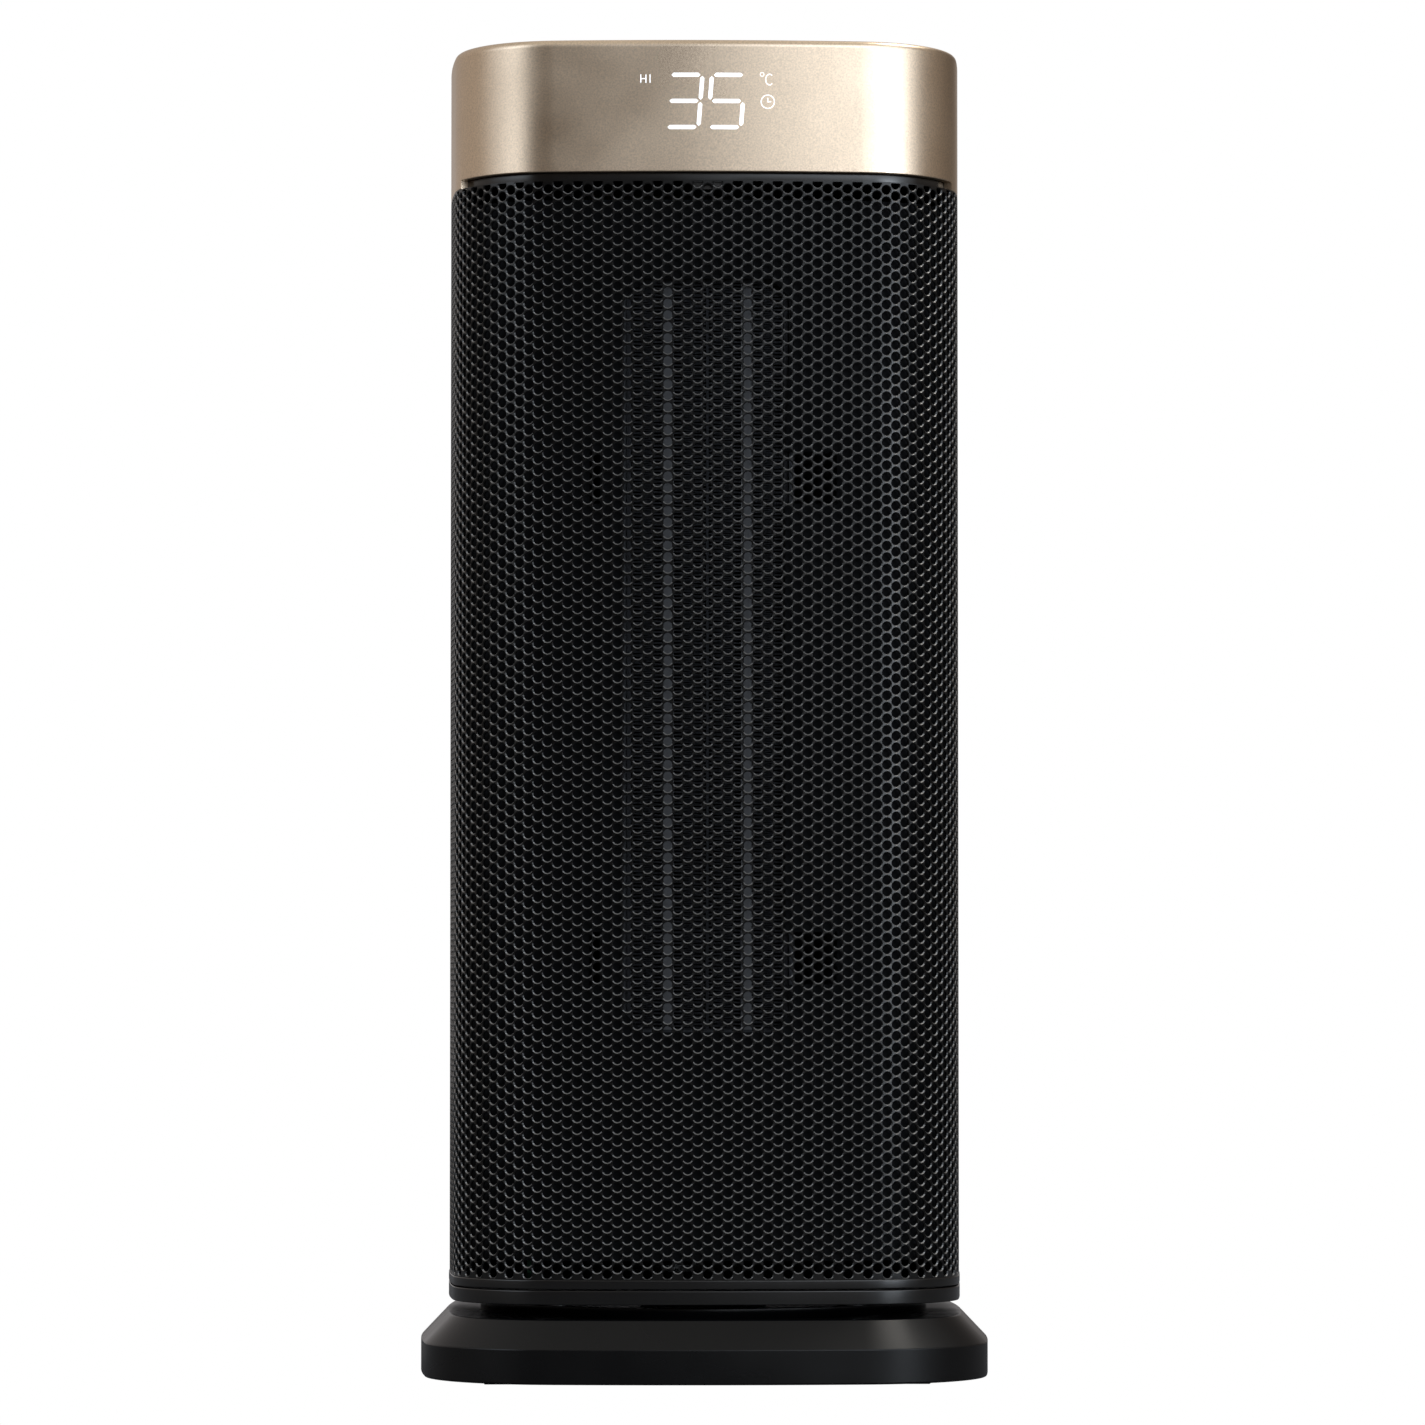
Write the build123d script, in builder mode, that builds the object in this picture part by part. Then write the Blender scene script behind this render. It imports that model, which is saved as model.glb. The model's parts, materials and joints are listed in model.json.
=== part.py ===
from build123d import *

import math
import os

os.makedirs("parts", exist_ok=True)

# Ceramic tower heater, in millimetres. The origin is on the floor under the middle of the
# base, +Z is up and the front faces -Y. The tower swings on the base about the Z axis.

# ---------------------------------------------------------------- driving dimensions
# Plan of the tower: a square with bowed sides and round corners
body_width = 204.5
body_depth = 198.0
side_bow = 7.0  # how far the middle of each side stands proud of the square's corners
corner_radius = 44.0
seam_y = 44.0  # the grille wraps round the front up to here, and the rear shell begins

# Base
foot_height = 1.0  # the feet lift the base this far off the floor
foot_length = 34.0
foot_width = 9.0
foot_side_inset = 32.25  # from the tower's side to the middle of a foot
foot_front_inset = 15.0
base_height = 25.5
base_overhang = 11.4  # how far the base stands out past the tower
slope_height = 11.0
slope_inset = 10.5
shell_wall = 2.5
plate_thickness = 2.5
plate_clearance = 0.2
neck_radius = 90.0
neck_wall = 6.0
neck_height = 3.9
neck_sides = 32
turn_clearance = 0.3  # between what stays on the base and what swings over it
pad_length = 14.0
pad_width = 4.0
pad_count = 4

# Tower heights, from the base up
turn_gap = 5.7
pan_band = 5.6
seam_height = 0.5
frame_band = 3.6
grille_height = 428.5
reveal_height = 3.3
cap_height = 52.0

# Tower walls
band_proud = 0.3  # the two bands under the grille stand this far out of its face
pan_floor = 2.5
pan_wall = 3.0
rib_thickness = 2.0
rib_count = 8
deck_opening = 30.0
grille_thickness = 1.0
fit_gap = 0.05
lug_width = 12.0
lug_height = 3.5
lug_thickness = 3.0

# Swing drive: the tower's spindle, its bush and the gears
spindle_radius = 15.0
spindle_bore = 9.0  # half the width across the flats of the way for the leads
spindle_drive = 12.9  # half the width across the flats of its hexagonal end
running_clearance = 0.05
bush_width = 18.0  # half the width across the flats of the hexagonal bush
boss_wall = 4.0
gear_module = 1.5
swing_teeth = 60
pinion_teeth = 12
pressure_angle = math.radians(20)
gear_backlash = 0.3
gear_addendum = 0.8  # in modules
pinion_addendum = 0.9
gear_dedendum = 1.3
gear_face = 4.4
gear_under_shell = 0.4
gear_side_teeth = 9  # teeth each side of the middle one of the swing gear
gear_hub = 24.0
retainer_radius = 20.0
retainer_thickness = 2.0
swing_motor_radius = 24.5
swing_motor_gap = 1.2  # between the motor's can and the pinion
swing_shaft_radius = 2.5
shaft_end_gap = 0.2
ear_reach = 36.0
ear_width = 10.0
ear_thickness = 1.5

# Tip-over switch
tip_x = -58.0
tip_y = -40.0
tip_block = 18.0
tip_block_height = 16.0
tip_wall = 2.5
plunger_width = 7.0
plunger_flange = 11.0
plunger_flange_thickness = 1.5
plunger_drop = 4.0
sliding_clearance = 0.3

# Ballast in the base
ballast_width = 50.0
ballast_depth = 36.0
ballast_thickness = 6.0
ballast_x = 38.0
ballast_inset = 23.0  # from the tower's front

# Cord inlet at the back of the base
inlet_z = 8.6
inlet_bore = 3.5
inlet_barrel = 9.0
inlet_recess = 3.5
inlet_width = 20.0
inlet_height = 10.0
inlet_floor = 4.0
inlet_collar = 3.0

# Screws
screw_head = 3.0  # half the width across the flats of the head
screw_shank = 1.5
screw_head_height = 1.4
screw_recess = 1.6
screw_length = 9.0
screw_post = 9.0
base_screw_inset = 14.25  # from the tower's side
base_screw_y = 38.0

# Rear shell
intake_width = 124.0
intake_top_margin = 53.4  # from the intake to the rear shell's upper edge
intake_bottom_margin = 63.1
intake_gap = 0.3
intake_sink = 0.4
intake_thickness = 2.0
ledge_width = 5.0
louvre_rows = 16
louvre_columns = 2
louvre_fill = 0.5  # share of each louvre pitch that is open
louvre_margin = 7.0
filter_thickness = 1.5
handle_width = 84.0
handle_height = 24.0
handle_depth = 22.0
handle_drop = 24.4  # from the rear shell's upper edge to the middle of the finger pocket
rear_screw_x = 56.0
rear_boss_width = 12.0
rear_boss_height = 16.0
rear_boss_depth = 14.0

# Front grille: staggered upright openings in columns
slot_pitch = 30.0
slot_web = 5.0
slot_rows = 3
grille_margin = 6.0

# Outlet panel behind the grille
panel_gap = 2.0
panel_wall = 2.0
panel_end_gap = 7.4  # left open above and below the panel
panel_rear_gap = 1.0  # between the panel's rear edge and the rear shell
panel_leg = 14.0
window_corner = 8.0
window_margin = 1.0
vent_width = 22.0
vent_height = 20.5
vent_x = 42.0
vent_spacing = 187.5
slit_width = 4.0
slit_x = -41.5

# Ceramic heating element
core_top_margin = 39.4  # from the core to the grille's upper edge
core_bottom_margin = 97.1
core_depth = 22.0
core_set_back = 4.0
electrode_thickness = 1.0
fin_width = 12.7
fin_thickness = 0.4
fin_folds = 14
bar_width = 4.0
rail_thickness = 1.6
end_cap_height = 8.0
shroud_wall = 2.0
shroud_gap = 0.3
terminal_width = 6.3
terminal_thickness = 0.8
terminal_length = 12.0
cutout_size = 14.0

# Cross-flow blower
wheel_y = 12.0
wheel_radius = 34.0
wheel_rim = 7.0
wheel_blades = 20
blade_thickness = 1.0
blade_lean = 8.0
wheel_disc = 2.0
wheel_end_gap = 3.0
wheel_overlap = 0.8  # how far the blades stay inside the discs' edge
shaft_radius = 2.5
shaft_hole = 6.0
blower_wall = 2.0
blower_plate = 2.5
blower_half_width = 47.0
blower_back = 56.0
scroll_flare = 8.5  # how far the scroll widens past the duct
scroll_lead = 17.0  # where it begins to turn, in front of the wheel's axis
scroll_rise = 5.1
scroll_gap = 6.1  # between the wheel and the scroll behind it
scroll_lip = 6.8
tongue_gap = 3.4  # between the wheel's front and the bend of the tongue
tongue_reach = 7.5
tongue_drop = 6.8
bearing_size = 5.5
bearing_length = 5.0
fan_motor_radius = 30.0
fan_motor_height = 52.0
bracket_thickness = 2.0
bracket_depth = 50.0
bracket_foot = 12.0

# Electronics
board_thickness = 1.6
power_board_inset = 32.25  # from the tower's side
power_board_length = 70.0
power_board_height = 78.0
transformer_y = -18.0
transformer_z = 20.0
transformer_size = 20.0
relay_y = 8.0
relay_z = 24.0
relay_size = 15.0
capacitor_y = 20.0
capacitor_z = 56.0
capacitor_size = 12.0
component_depth = 0.6  # share of a component's size that stands off the board
sensor_x = 45.0
sensor_inset = 23.0  # from the tower's back
sensor_size = 8.0

# Cap
cap_wall = 3.0
cap_edge_radius = 6.5
cap_rim = 14.0
cap_rim_thickness = 2.5
reveal_end_y = -68.0  # the shadow gap over the grille ends here on each side
reveal_inset = 3.2
top_opening = 100.0
top_panel_sink = 0.7
top_panel_gap = 0.15
top_panel_flange = 2.2
top_panel_lip = 3.0  # how far the panel's flange reaches under the cap's rim
button_count = 5
button_pitch = 25.0
button_inset = 41.0  # from the cap's front to the middle of the row
button_width = 18.0
button_depth = 11.0
button_clearance = 0.3
button_proud = 0.6
button_flange = 1.5
button_flange_thickness = 1.6
button_stem = 4.0
button_stem_length = 1.0
button_rest_gap = 0.2
button_travel = 0.8
tact_size = 6.2
tact_height = 3.6
control_board_depth = 30.0
control_board_margin = 8.0
board_post = 5.0
display_width = 92.0
display_depth = 11.0
display_top_gap = 7.0

# Rocker switch low on the back
rocker_rise = 27.1  # above the rear shell's lower edge
bezel_width = 24.0
bezel_height = 18.0
bezel_proud = 1.5
switch_width = 19.8
switch_height = 13.8
switch_depth = 17.0
switch_wall = 2.0
rocker_half_height = 4.8
rocker_reach = 5.5
rocker_dip = 1.5
rocker_tilt = 10.0
rocker_gap = 0.3
rocker_axis_depth = 4.0

# ---------------------------------------------------------------- levels and places
front_y = -body_depth / 2
back_y = body_depth / 2
foot_x = body_width / 2 - foot_side_inset
foot_y = body_depth / 2 - foot_front_inset
ballast_y = front_y + ballast_inset
base_screw_x = body_width / 2 - base_screw_inset
sensor_y = back_y - sensor_inset
button_y = front_y + button_inset
plate_top = foot_height + plate_thickness
neck_top = base_height + neck_height
pan_bottom = base_height + turn_gap
pan_floor_top = pan_bottom + pan_floor
pan_top = pan_bottom + pan_band
frame_bottom = pan_top + seam_height
grille_bottom = frame_bottom + frame_band
grille_top = grille_bottom + grille_height
cap_bottom = grille_top + reveal_height
top_z = cap_bottom + cap_height
intake_bottom = grille_bottom + intake_bottom_margin
intake_height = grille_height - intake_bottom_margin - intake_top_margin
handle_z = grille_top - handle_drop
rocker_z = grille_bottom + rocker_rise
core_bottom = grille_bottom + core_bottom_margin
core_top = grille_top - core_top_margin
core_height = core_top - core_bottom
core_z = (core_bottom + core_top) / 2

# ---------------------------------------------------------------- the tower's plan
# Each side of the square is an arc of a big circle centred far across the plan.
corner_x = body_width / 2 - side_bow
corner_y = body_depth / 2 - side_bow
face_radius = (corner_x**2 + side_bow**2) / (2 * side_bow)  # of the front and the back
side_radius = (corner_y**2 + side_bow**2) / (2 * side_bow)
side_circles = [
    (Location((0, front_y + face_radius)), face_radius),
    (Location((0, back_y - face_radius)), face_radius),
    (Location((side_radius - body_width / 2, 0)), side_radius),
    (Location((body_width / 2 - side_radius, 0), 180), side_radius),
]


def plan(grow=0.0, mode=Mode.ADD):
    """Put the tower's plan, grown outwards by a distance, into the open sketch."""
    with BuildSketch(mode=Mode.PRIVATE) as outline:
        Rectangle(2 * body_width, 2 * body_depth)
        for centre, radius in side_circles:
            with Locations(centre):
                Circle(radius + grow, mode=Mode.INTERSECT)
        fillet(outline.vertices(), corner_radius + grow)
    add(outline.sketch, mode=mode)


def ring(outer, inner):
    """Put the band between two growths of the plan into the open sketch."""
    plan(outer)
    plan(inner, Mode.SUBTRACT)


def keep(x_range, y_range):
    """Keep only the part of the open sketch that lies within two ranges."""
    with Locations(((x_range[0] + x_range[1]) / 2, (y_range[0] + y_range[1]) / 2)):
        Rectangle(x_range[1] - x_range[0], y_range[1] - y_range[0], mode=Mode.INTERSECT)


def keep_front(limit_y):
    """Keep only the part of the open sketch in front of a line."""
    keep((-body_width, body_width), (-body_depth, limit_y))


def keep_rear(limit_y):
    """Keep only the part of the open sketch behind a line."""
    keep((-body_width, body_width), (limit_y, body_depth))


def level(height):
    """The horizontal sketch plane at a height."""
    return Plane.XY.offset(height)


def facing_back(y):
    """An upright sketch plane at a depth, with Z up, that extrudes towards the back."""
    return Plane(origin=(0, y, 0), x_dir=(-1, 0, 0), z_dir=(0, 1, 0))


def bowed_depth(x, grow=0.0):
    """Distance from the middle plane to the bowed front or back at a place across it."""
    return back_y - face_radius + math.sqrt((face_radius + grow) ** 2 - x**2)


# ---------------------------------------------------------------- base
base_back_y = back_y + base_overhang
inlet_floor_y = base_back_y - inlet_recess
inlet_inner_y = inlet_floor_y - inlet_floor
shell_under = base_height - shell_wall
pad_top = pan_bottom - turn_clearance
base_screws_at = GridLocations(2 * base_screw_x, 2 * base_screw_y, 2, 2)


def base_form(inset, top):
    """The base's form, an upright side under a sloped shoulder, drawn in by an inset."""
    with BuildPart() as form:
        with BuildSketch(level(foot_height)):
            plan(base_overhang - inset)
        extrude(amount=top - foot_height)
        lid = form.faces().sort_by(Axis.Z)[-1]
        chamfer(lid.edges(), slope_inset, slope_height, reference=lid)
    return form.part


base_outside = base_form(0, base_height)
base_inside = base_form(shell_wall, shell_under)

with BuildPart() as base_shell:
    add(base_outside)
    add(base_inside, mode=Mode.SUBTRACT)
    # The neck that the tower turns over, and the boss that keys its bush
    with BuildSketch(level(base_height)):
        RegularPolygon(neck_radius, neck_sides)
        RegularPolygon(neck_radius - neck_wall, neck_sides, mode=Mode.SUBTRACT)
        RegularPolygon(bush_width + boss_wall, 6, major_radius=False)
    extrude(amount=neck_height)
    with BuildSketch(level(neck_top)):
        RegularPolygon(bush_width, 6, major_radius=False)
    extrude(amount=-(neck_height + shell_wall), mode=Mode.SUBTRACT)
    # Screw posts that stand on the bottom plate
    with BuildSketch(level(plate_top)):
        with base_screws_at:
            Rectangle(screw_post, screw_post)
            RegularPolygon(screw_shank + fit_gap, 6, major_radius=False, mode=Mode.SUBTRACT)
    extrude(amount=shell_under - plate_top)
    # Recess for the cord inlet, with a thicker wall behind it
    with BuildSketch(facing_back(inlet_inner_y)):
        with Locations((0, inlet_z)):
            Rectangle(inlet_width + 2 * shell_wall, 2 * (inlet_z - plate_top))
    extrude(amount=base_back_y - shell_wall - inlet_inner_y)
    with BuildSketch(facing_back(inlet_floor_y)):
        with Locations((0, inlet_z)):
            Rectangle(inlet_width, inlet_height)
    extrude(amount=2 * inlet_recess, mode=Mode.SUBTRACT)
    with BuildSketch(facing_back(inlet_inner_y)):
        with Locations((0, inlet_z)):
            Rectangle(inlet_barrel, inlet_barrel)
    extrude(amount=inlet_floor, mode=Mode.SUBTRACT)
base_shell.part.label = "base_shell"
export_step(base_shell.part, "parts/base_shell.step")

with BuildPart() as base_plate:
    with BuildSketch(level(foot_height)):
        plan(base_overhang - shell_wall - plate_clearance)
        with Locations((tip_x, tip_y)):
            hole_width = plunger_width + 2 * sliding_clearance
            Rectangle(hole_width, hole_width, mode=Mode.SUBTRACT)
    extrude(amount=plate_thickness)
    with BuildSketch(level(foot_height)):
        with base_screws_at:
            RegularPolygon(screw_head + plate_clearance, 6, major_radius=False)
    extrude(amount=screw_recess, mode=Mode.SUBTRACT)
    with BuildSketch(level(foot_height)):
        with base_screws_at:
            RegularPolygon(screw_shank + fit_gap, 6, major_radius=False)
    extrude(amount=plate_thickness, mode=Mode.SUBTRACT)
base_plate.part.label = "base_plate"
export_step(base_plate.part, "parts/base_plate.step")

with BuildPart() as rubber_feet:
    with BuildSketch():
        with GridLocations(2 * foot_x, 2 * foot_y, 2, 2):
            Rectangle(foot_length, foot_width)
    extrude(amount=foot_height)
rubber_feet.part.label = "rubber_feet"
export_step(rubber_feet.part, "parts/rubber_feet.step")

with BuildPart() as base_screws:
    with BuildSketch(level(foot_height + screw_recess)):
        with base_screws_at:
            RegularPolygon(screw_head, 6, major_radius=False)
    extrude(amount=-screw_head_height)
    with BuildSketch(level(foot_height + screw_recess)):
        with base_screws_at:
            RegularPolygon(screw_shank, 6, major_radius=False)
    extrude(amount=screw_length)
base_screws.part.label = "base_screws"
export_step(base_screws.part, "parts/base_screws.step")

with BuildPart() as ballast_plates:
    with BuildSketch(level(plate_top)):
        with Locations((-ballast_x, ballast_y), (ballast_x, ballast_y)):
            Rectangle(ballast_width, ballast_depth)
    extrude(amount=ballast_thickness)
ballast_plates.part.label = "ballast_plates"
export_step(ballast_plates.part, "parts/ballast_plates.step")

with BuildPart() as cord_inlet:
    with BuildSketch(facing_back(inlet_floor_y)):
        with Locations((0, inlet_z)):
            Rectangle(inlet_width - 2 * fit_gap, inlet_height - 2 * fit_gap)
    extrude(amount=inlet_collar)
    with BuildSketch(facing_back(inlet_inner_y)):
        with Locations((0, inlet_z)):
            Rectangle(inlet_barrel, inlet_barrel)
    extrude(amount=inlet_floor)
    with BuildSketch(facing_back(inlet_inner_y)):
        with Locations((0, inlet_z)):
            Circle(inlet_bore)
    extrude(amount=inlet_floor + inlet_collar, mode=Mode.SUBTRACT)
cord_inlet.part.label = "cord_inlet"
export_step(cord_inlet.part, "parts/cord_inlet.step")

with BuildPart() as glide_pads:
    with BuildSketch(level(neck_top)):
        with PolarLocations(neck_radius - neck_wall / 2, pad_count, 45):
            Rectangle(pad_width, pad_length)
    extrude(amount=pad_top - neck_top)
glide_pads.part.label = "glide_pads"
export_step(glide_pads.part, "parts/glide_pads.step")

with BuildPart() as pivot_bush:
    with BuildSketch(level(shell_under)):
        RegularPolygon(bush_width, 6, major_radius=False)
        Circle(spindle_radius + running_clearance, mode=Mode.SUBTRACT)
    extrude(amount=pad_top - shell_under)
pivot_bush.part.label = "pivot_bush"
export_step(pivot_bush.part, "parts/pivot_bush.step")

with BuildPart() as tip_switch_housing:
    with BuildSketch(level(plate_top)):
        with Locations((tip_x, tip_y)):
            Rectangle(tip_block, tip_block)
    extrude(amount=tip_block_height)
    with BuildSketch(level(plate_top)):
        with Locations((tip_x, tip_y)):
            Rectangle(tip_block - 2 * tip_wall, tip_block - 2 * tip_wall)
    extrude(amount=tip_block_height - tip_wall, mode=Mode.SUBTRACT)
tip_switch_housing.part.label = "tip_switch_housing"
export_step(tip_switch_housing.part, "parts/tip_switch_housing.step")

# The plunger is flush with the feet while the heater stands, and drops when it is lifted.
plunger_flange_z = plate_top + plunger_drop + sliding_clearance
with BuildPart() as tip_plunger:
    with BuildSketch():
        with Locations((tip_x, tip_y)):
            Rectangle(plunger_width, plunger_width)
    extrude(amount=plunger_flange_z)
    with BuildSketch(level(plunger_flange_z)):
        with Locations((tip_x, tip_y)):
            Rectangle(plunger_flange, plunger_flange)
    extrude(amount=plunger_flange_thickness)
    with BuildSketch(level(plunger_flange_z + plunger_flange_thickness)):
        with Locations((tip_x, tip_y)):
            Rectangle(plunger_width / 2, plunger_width / 2)
    tip_ceiling = plate_top + tip_block_height - tip_wall
    extrude(amount=tip_ceiling - sliding_clearance - plunger_flange_z - plunger_flange_thickness)
tip_plunger.part.label = "tip_plunger"
export_step(tip_plunger.part, "parts/tip_plunger.step")

# ---------------------------------------------------------------- swing drive
gear_top = shell_under - gear_under_shell
gear_bottom = gear_top - gear_face
spindle_end = gear_bottom - retainer_thickness
swing_centres = gear_module * (swing_teeth + pinion_teeth) / 2
swing_motor_top = gear_bottom - swing_motor_gap
tooth_angle = 360 / swing_teeth


def root_radius(teeth):
    """Radius of the circle between a gear's teeth."""
    return gear_module * (teeth / 2 - gear_dedendum)


def tooth_corners(teeth, addendum):
    """Corners of one involute tooth that points along +X, from inside the root to the tip."""
    pitch_radius = gear_module * teeth / 2
    base_radius = pitch_radius * math.cos(pressure_angle)
    pitch_half = math.pi / (2 * teeth) - gear_backlash / (4 * pitch_radius)

    def half_angle(radius):
        roll = math.acos(min(1.0, base_radius / radius))
        return pitch_half + math.tan(pressure_angle) - pressure_angle - math.tan(roll) + roll

    flank = [root_radius(teeth), pitch_radius, pitch_radius + addendum * gear_module]
    angles = [half_angle(radius) for radius in flank]
    side = [(radius * math.cos(a), radius * math.sin(a)) for radius, a in zip(flank, angles)]
    side[0] = (side[0][0] - gear_backlash, side[0][1])
    return [(x, -y) for x, y in side] + side[::-1]


with BuildPart() as swing_gear:
    with BuildSketch(level(gear_bottom)):
        with BuildLine():
            reach = gear_side_teeth * tooth_angle + tooth_angle / 2
            rim = CenterArc((0, 0), root_radius(swing_teeth), 90 - reach, 2 * reach)
            Polyline(rim @ 0, (0, 0), rim @ 1)
        make_face()
        with PolarLocations(0, 2 * gear_side_teeth + 1, 90 - gear_side_teeth * tooth_angle,
                            2 * gear_side_teeth * tooth_angle, endpoint=True):
            Polygon(*tooth_corners(swing_teeth, gear_addendum), align=None)
        RegularPolygon(gear_hub, 6)
        RegularPolygon(spindle_drive, 6, major_radius=False, mode=Mode.SUBTRACT)
    extrude(amount=gear_face)
swing_gear.part.label = "swing_gear"
export_step(swing_gear.part, "parts/swing_gear.step")

with BuildPart() as gear_retainer:
    with BuildSketch(level(gear_bottom)):
        RegularPolygon(retainer_radius, 6)
        RegularPolygon(spindle_drive, 6, major_radius=False, mode=Mode.SUBTRACT)
    extrude(amount=-retainer_thickness)
gear_retainer.part.label = "gear_retainer"
export_step(gear_retainer.part, "parts/gear_retainer.step")

with BuildPart() as swing_pinion:
    with BuildSketch(level(gear_bottom)):
        with Locations((0, swing_centres)):
            Circle(root_radius(pinion_teeth))
            with PolarLocations(0, pinion_teeth, 90 + 180 / pinion_teeth):
                Polygon(*tooth_corners(pinion_teeth, pinion_addendum), align=None)
    extrude(amount=gear_face)
    with BuildSketch(level(gear_bottom)):
        with Locations((0, swing_centres)):
            Circle(swing_shaft_radius)
    extrude(amount=-(swing_motor_gap - shaft_end_gap))
swing_pinion.part.label = "swing_pinion"
export_step(swing_pinion.part, "parts/swing_pinion.step")

with BuildPart() as swing_motor:
    with BuildSketch(level(plate_top)):
        with Locations((0, swing_centres)):
            Circle(swing_motor_radius)
    extrude(amount=swing_motor_top - plate_top)
    with BuildSketch(level(plate_top)):
        with Locations((0, swing_centres)):
            Rectangle(2 * ear_reach, ear_width)
    extrude(amount=ear_thickness)
swing_motor.part.label = "swing_motor"
export_step(swing_motor.part, "parts/swing_motor.step")

# ---------------------------------------------------------------- foot of the tower
with BuildPart() as bottom_pan:
    with BuildSketch(level(pan_bottom)):
        plan(band_proud)
    extrude(amount=pan_band)
    with BuildSketch(level(pan_floor_top)):
        plan(-pan_wall)
    extrude(amount=pan_band, mode=Mode.SUBTRACT)
    # Ribs that carry the frame above
    with BuildSketch(level(pan_floor_top)):
        with PolarLocations(0, rib_count, 180 / rib_count):
            Rectangle(body_width, rib_thickness, align=(Align.MIN, Align.CENTER))
        plan(-pan_wall / 2, Mode.INTERSECT)
        RegularPolygon(deck_opening, 2 * rib_count, mode=Mode.SUBTRACT)
    extrude(amount=frame_bottom - pan_floor_top)
    # The hollow spindle that the tower turns on, hexagonal where it drives the gear
    with BuildSketch(level(pan_bottom)):
        Circle(spindle_radius)
    extrude(amount=-(pan_bottom - shell_under + gear_under_shell / 2))
    with BuildSketch(level(pan_bottom)):
        RegularPolygon(spindle_drive, 6, major_radius=False)
    extrude(amount=-(pan_bottom - spindle_end))
    with BuildSketch(level(spindle_end)):
        RegularPolygon(spindle_bore, 6, major_radius=False)
    extrude(amount=pan_floor_top - spindle_end, mode=Mode.SUBTRACT)
bottom_pan.part.label = "bottom_pan"
export_step(bottom_pan.part, "parts/bottom_pan.step")

# Lugs inside the grille's edge, and the blocks that the rear screws bite into
with BuildSketch() as lug_plan:
    ring(-grille_thickness - fit_gap, -grille_thickness - fit_gap - lug_thickness)
    with BuildSketch(mode=Mode.INTERSECT):
        Rectangle(lug_width, 2 * body_depth)
        Rectangle(2 * body_width, lug_width)
    keep_front(seam_y)
with BuildSketch() as rear_boss_plan:
    plan(-shell_wall - fit_gap)
    boss_reach = rear_screw_x + rear_boss_width / 2
    keep((-boss_reach, boss_reach), (back_y - rear_boss_depth, body_depth))
    Rectangle(2 * rear_screw_x - rear_boss_width, 2 * body_depth, mode=Mode.SUBTRACT)

# The rear screws' heads sit in shallow recesses of the bowed rear wall.
rear_screw_zs = (grille_bottom + rear_boss_height / 2, grille_top - rear_boss_height / 2)
rear_screw_spots = [(x, z) for x in (-rear_screw_x, rear_screw_x) for z in rear_screw_zs]
rear_screw_seat_y = bowed_depth(rear_screw_x) - screw_recess

with BuildPart() as lower_frame:
    with BuildSketch(level(frame_bottom)):
        plan(band_proud)
        RegularPolygon(deck_opening, 2 * rib_count, mode=Mode.SUBTRACT)
    extrude(amount=frame_band)
    with BuildSketch(level(grille_bottom)):
        add(lug_plan.sketch)
    extrude(amount=lug_height)
    with BuildSketch(level(grille_bottom)):
        add(rear_boss_plan.sketch)
    extrude(amount=rear_boss_height)
    with BuildSketch(facing_back(rear_screw_seat_y)):
        with Locations(*rear_screw_spots):
            RegularPolygon(screw_shank + fit_gap, 6, major_radius=False)
    extrude(amount=-screw_length - fit_gap, mode=Mode.SUBTRACT)
lower_frame.part.label = "lower_frame"
export_step(lower_frame.part, "parts/lower_frame.step")

# ---------------------------------------------------------------- casing of the tower
# The columns of openings are spaced evenly along the plan's outline from the front's middle.
with BuildSketch() as tower_plan:
    plan()
plan_wire = tower_plan.sketch.face().outer_wire()
front_param = plan_wire.param_at_point((0, front_y))
side_arc = plan_wire.length / 4  # from the middle of the front to the middle of a side
side_columns = math.floor((side_arc + seam_y - grille_margin - slot_pitch / 2) / slot_pitch)
slot_row_pitch = (grille_height - 2 * grille_margin + slot_web) / slot_rows


def slot_plane(column, height):
    """A plane that faces out of the grille at one of its columns and at a height."""
    at = (front_param + column * slot_pitch / plan_wire.length) % 1.0
    point = plan_wire.position_at(at)
    tangent = plan_wire.tangent_at(at)
    return Plane((point.X, point.Y, height), x_dir=tangent, z_dir=tangent.cross(Vector(0, 0, 1)))


grille_middle = (grille_bottom + grille_top) / 2
long_slots = []
short_slots = []
for column in range(-side_columns, side_columns + 1):
    rows = slot_rows - column % 2
    for row in range(rows):
        height = grille_middle + (row - (rows - 1) / 2) * slot_row_pitch
        long_slots.append(slot_plane(column, height))
    if column % 2:
        end_height = (slot_rows / 2 - 1 / 4) * slot_row_pitch - slot_web / 4
        short_slots.append(slot_plane(column, grille_middle + end_height))
        short_slots.append(slot_plane(column, grille_middle - end_height))

with BuildPart() as front_grille:
    with BuildSketch(level(grille_bottom)):
        ring(0, -grille_thickness)
        keep_front(seam_y)
    extrude(amount=grille_height)
    with BuildSketch(*long_slots):
        Rectangle(slot_pitch - slot_web, slot_row_pitch - slot_web)
    extrude(amount=2 * grille_thickness, both=True, mode=Mode.SUBTRACT)
    with BuildSketch(*short_slots):
        Rectangle(slot_pitch - slot_web, slot_row_pitch / 2 - slot_web)
    extrude(amount=2 * grille_thickness, both=True, mode=Mode.SUBTRACT)
front_grille.part.label = "front_grille"
export_step(front_grille.part, "parts/front_grille.step")

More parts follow.
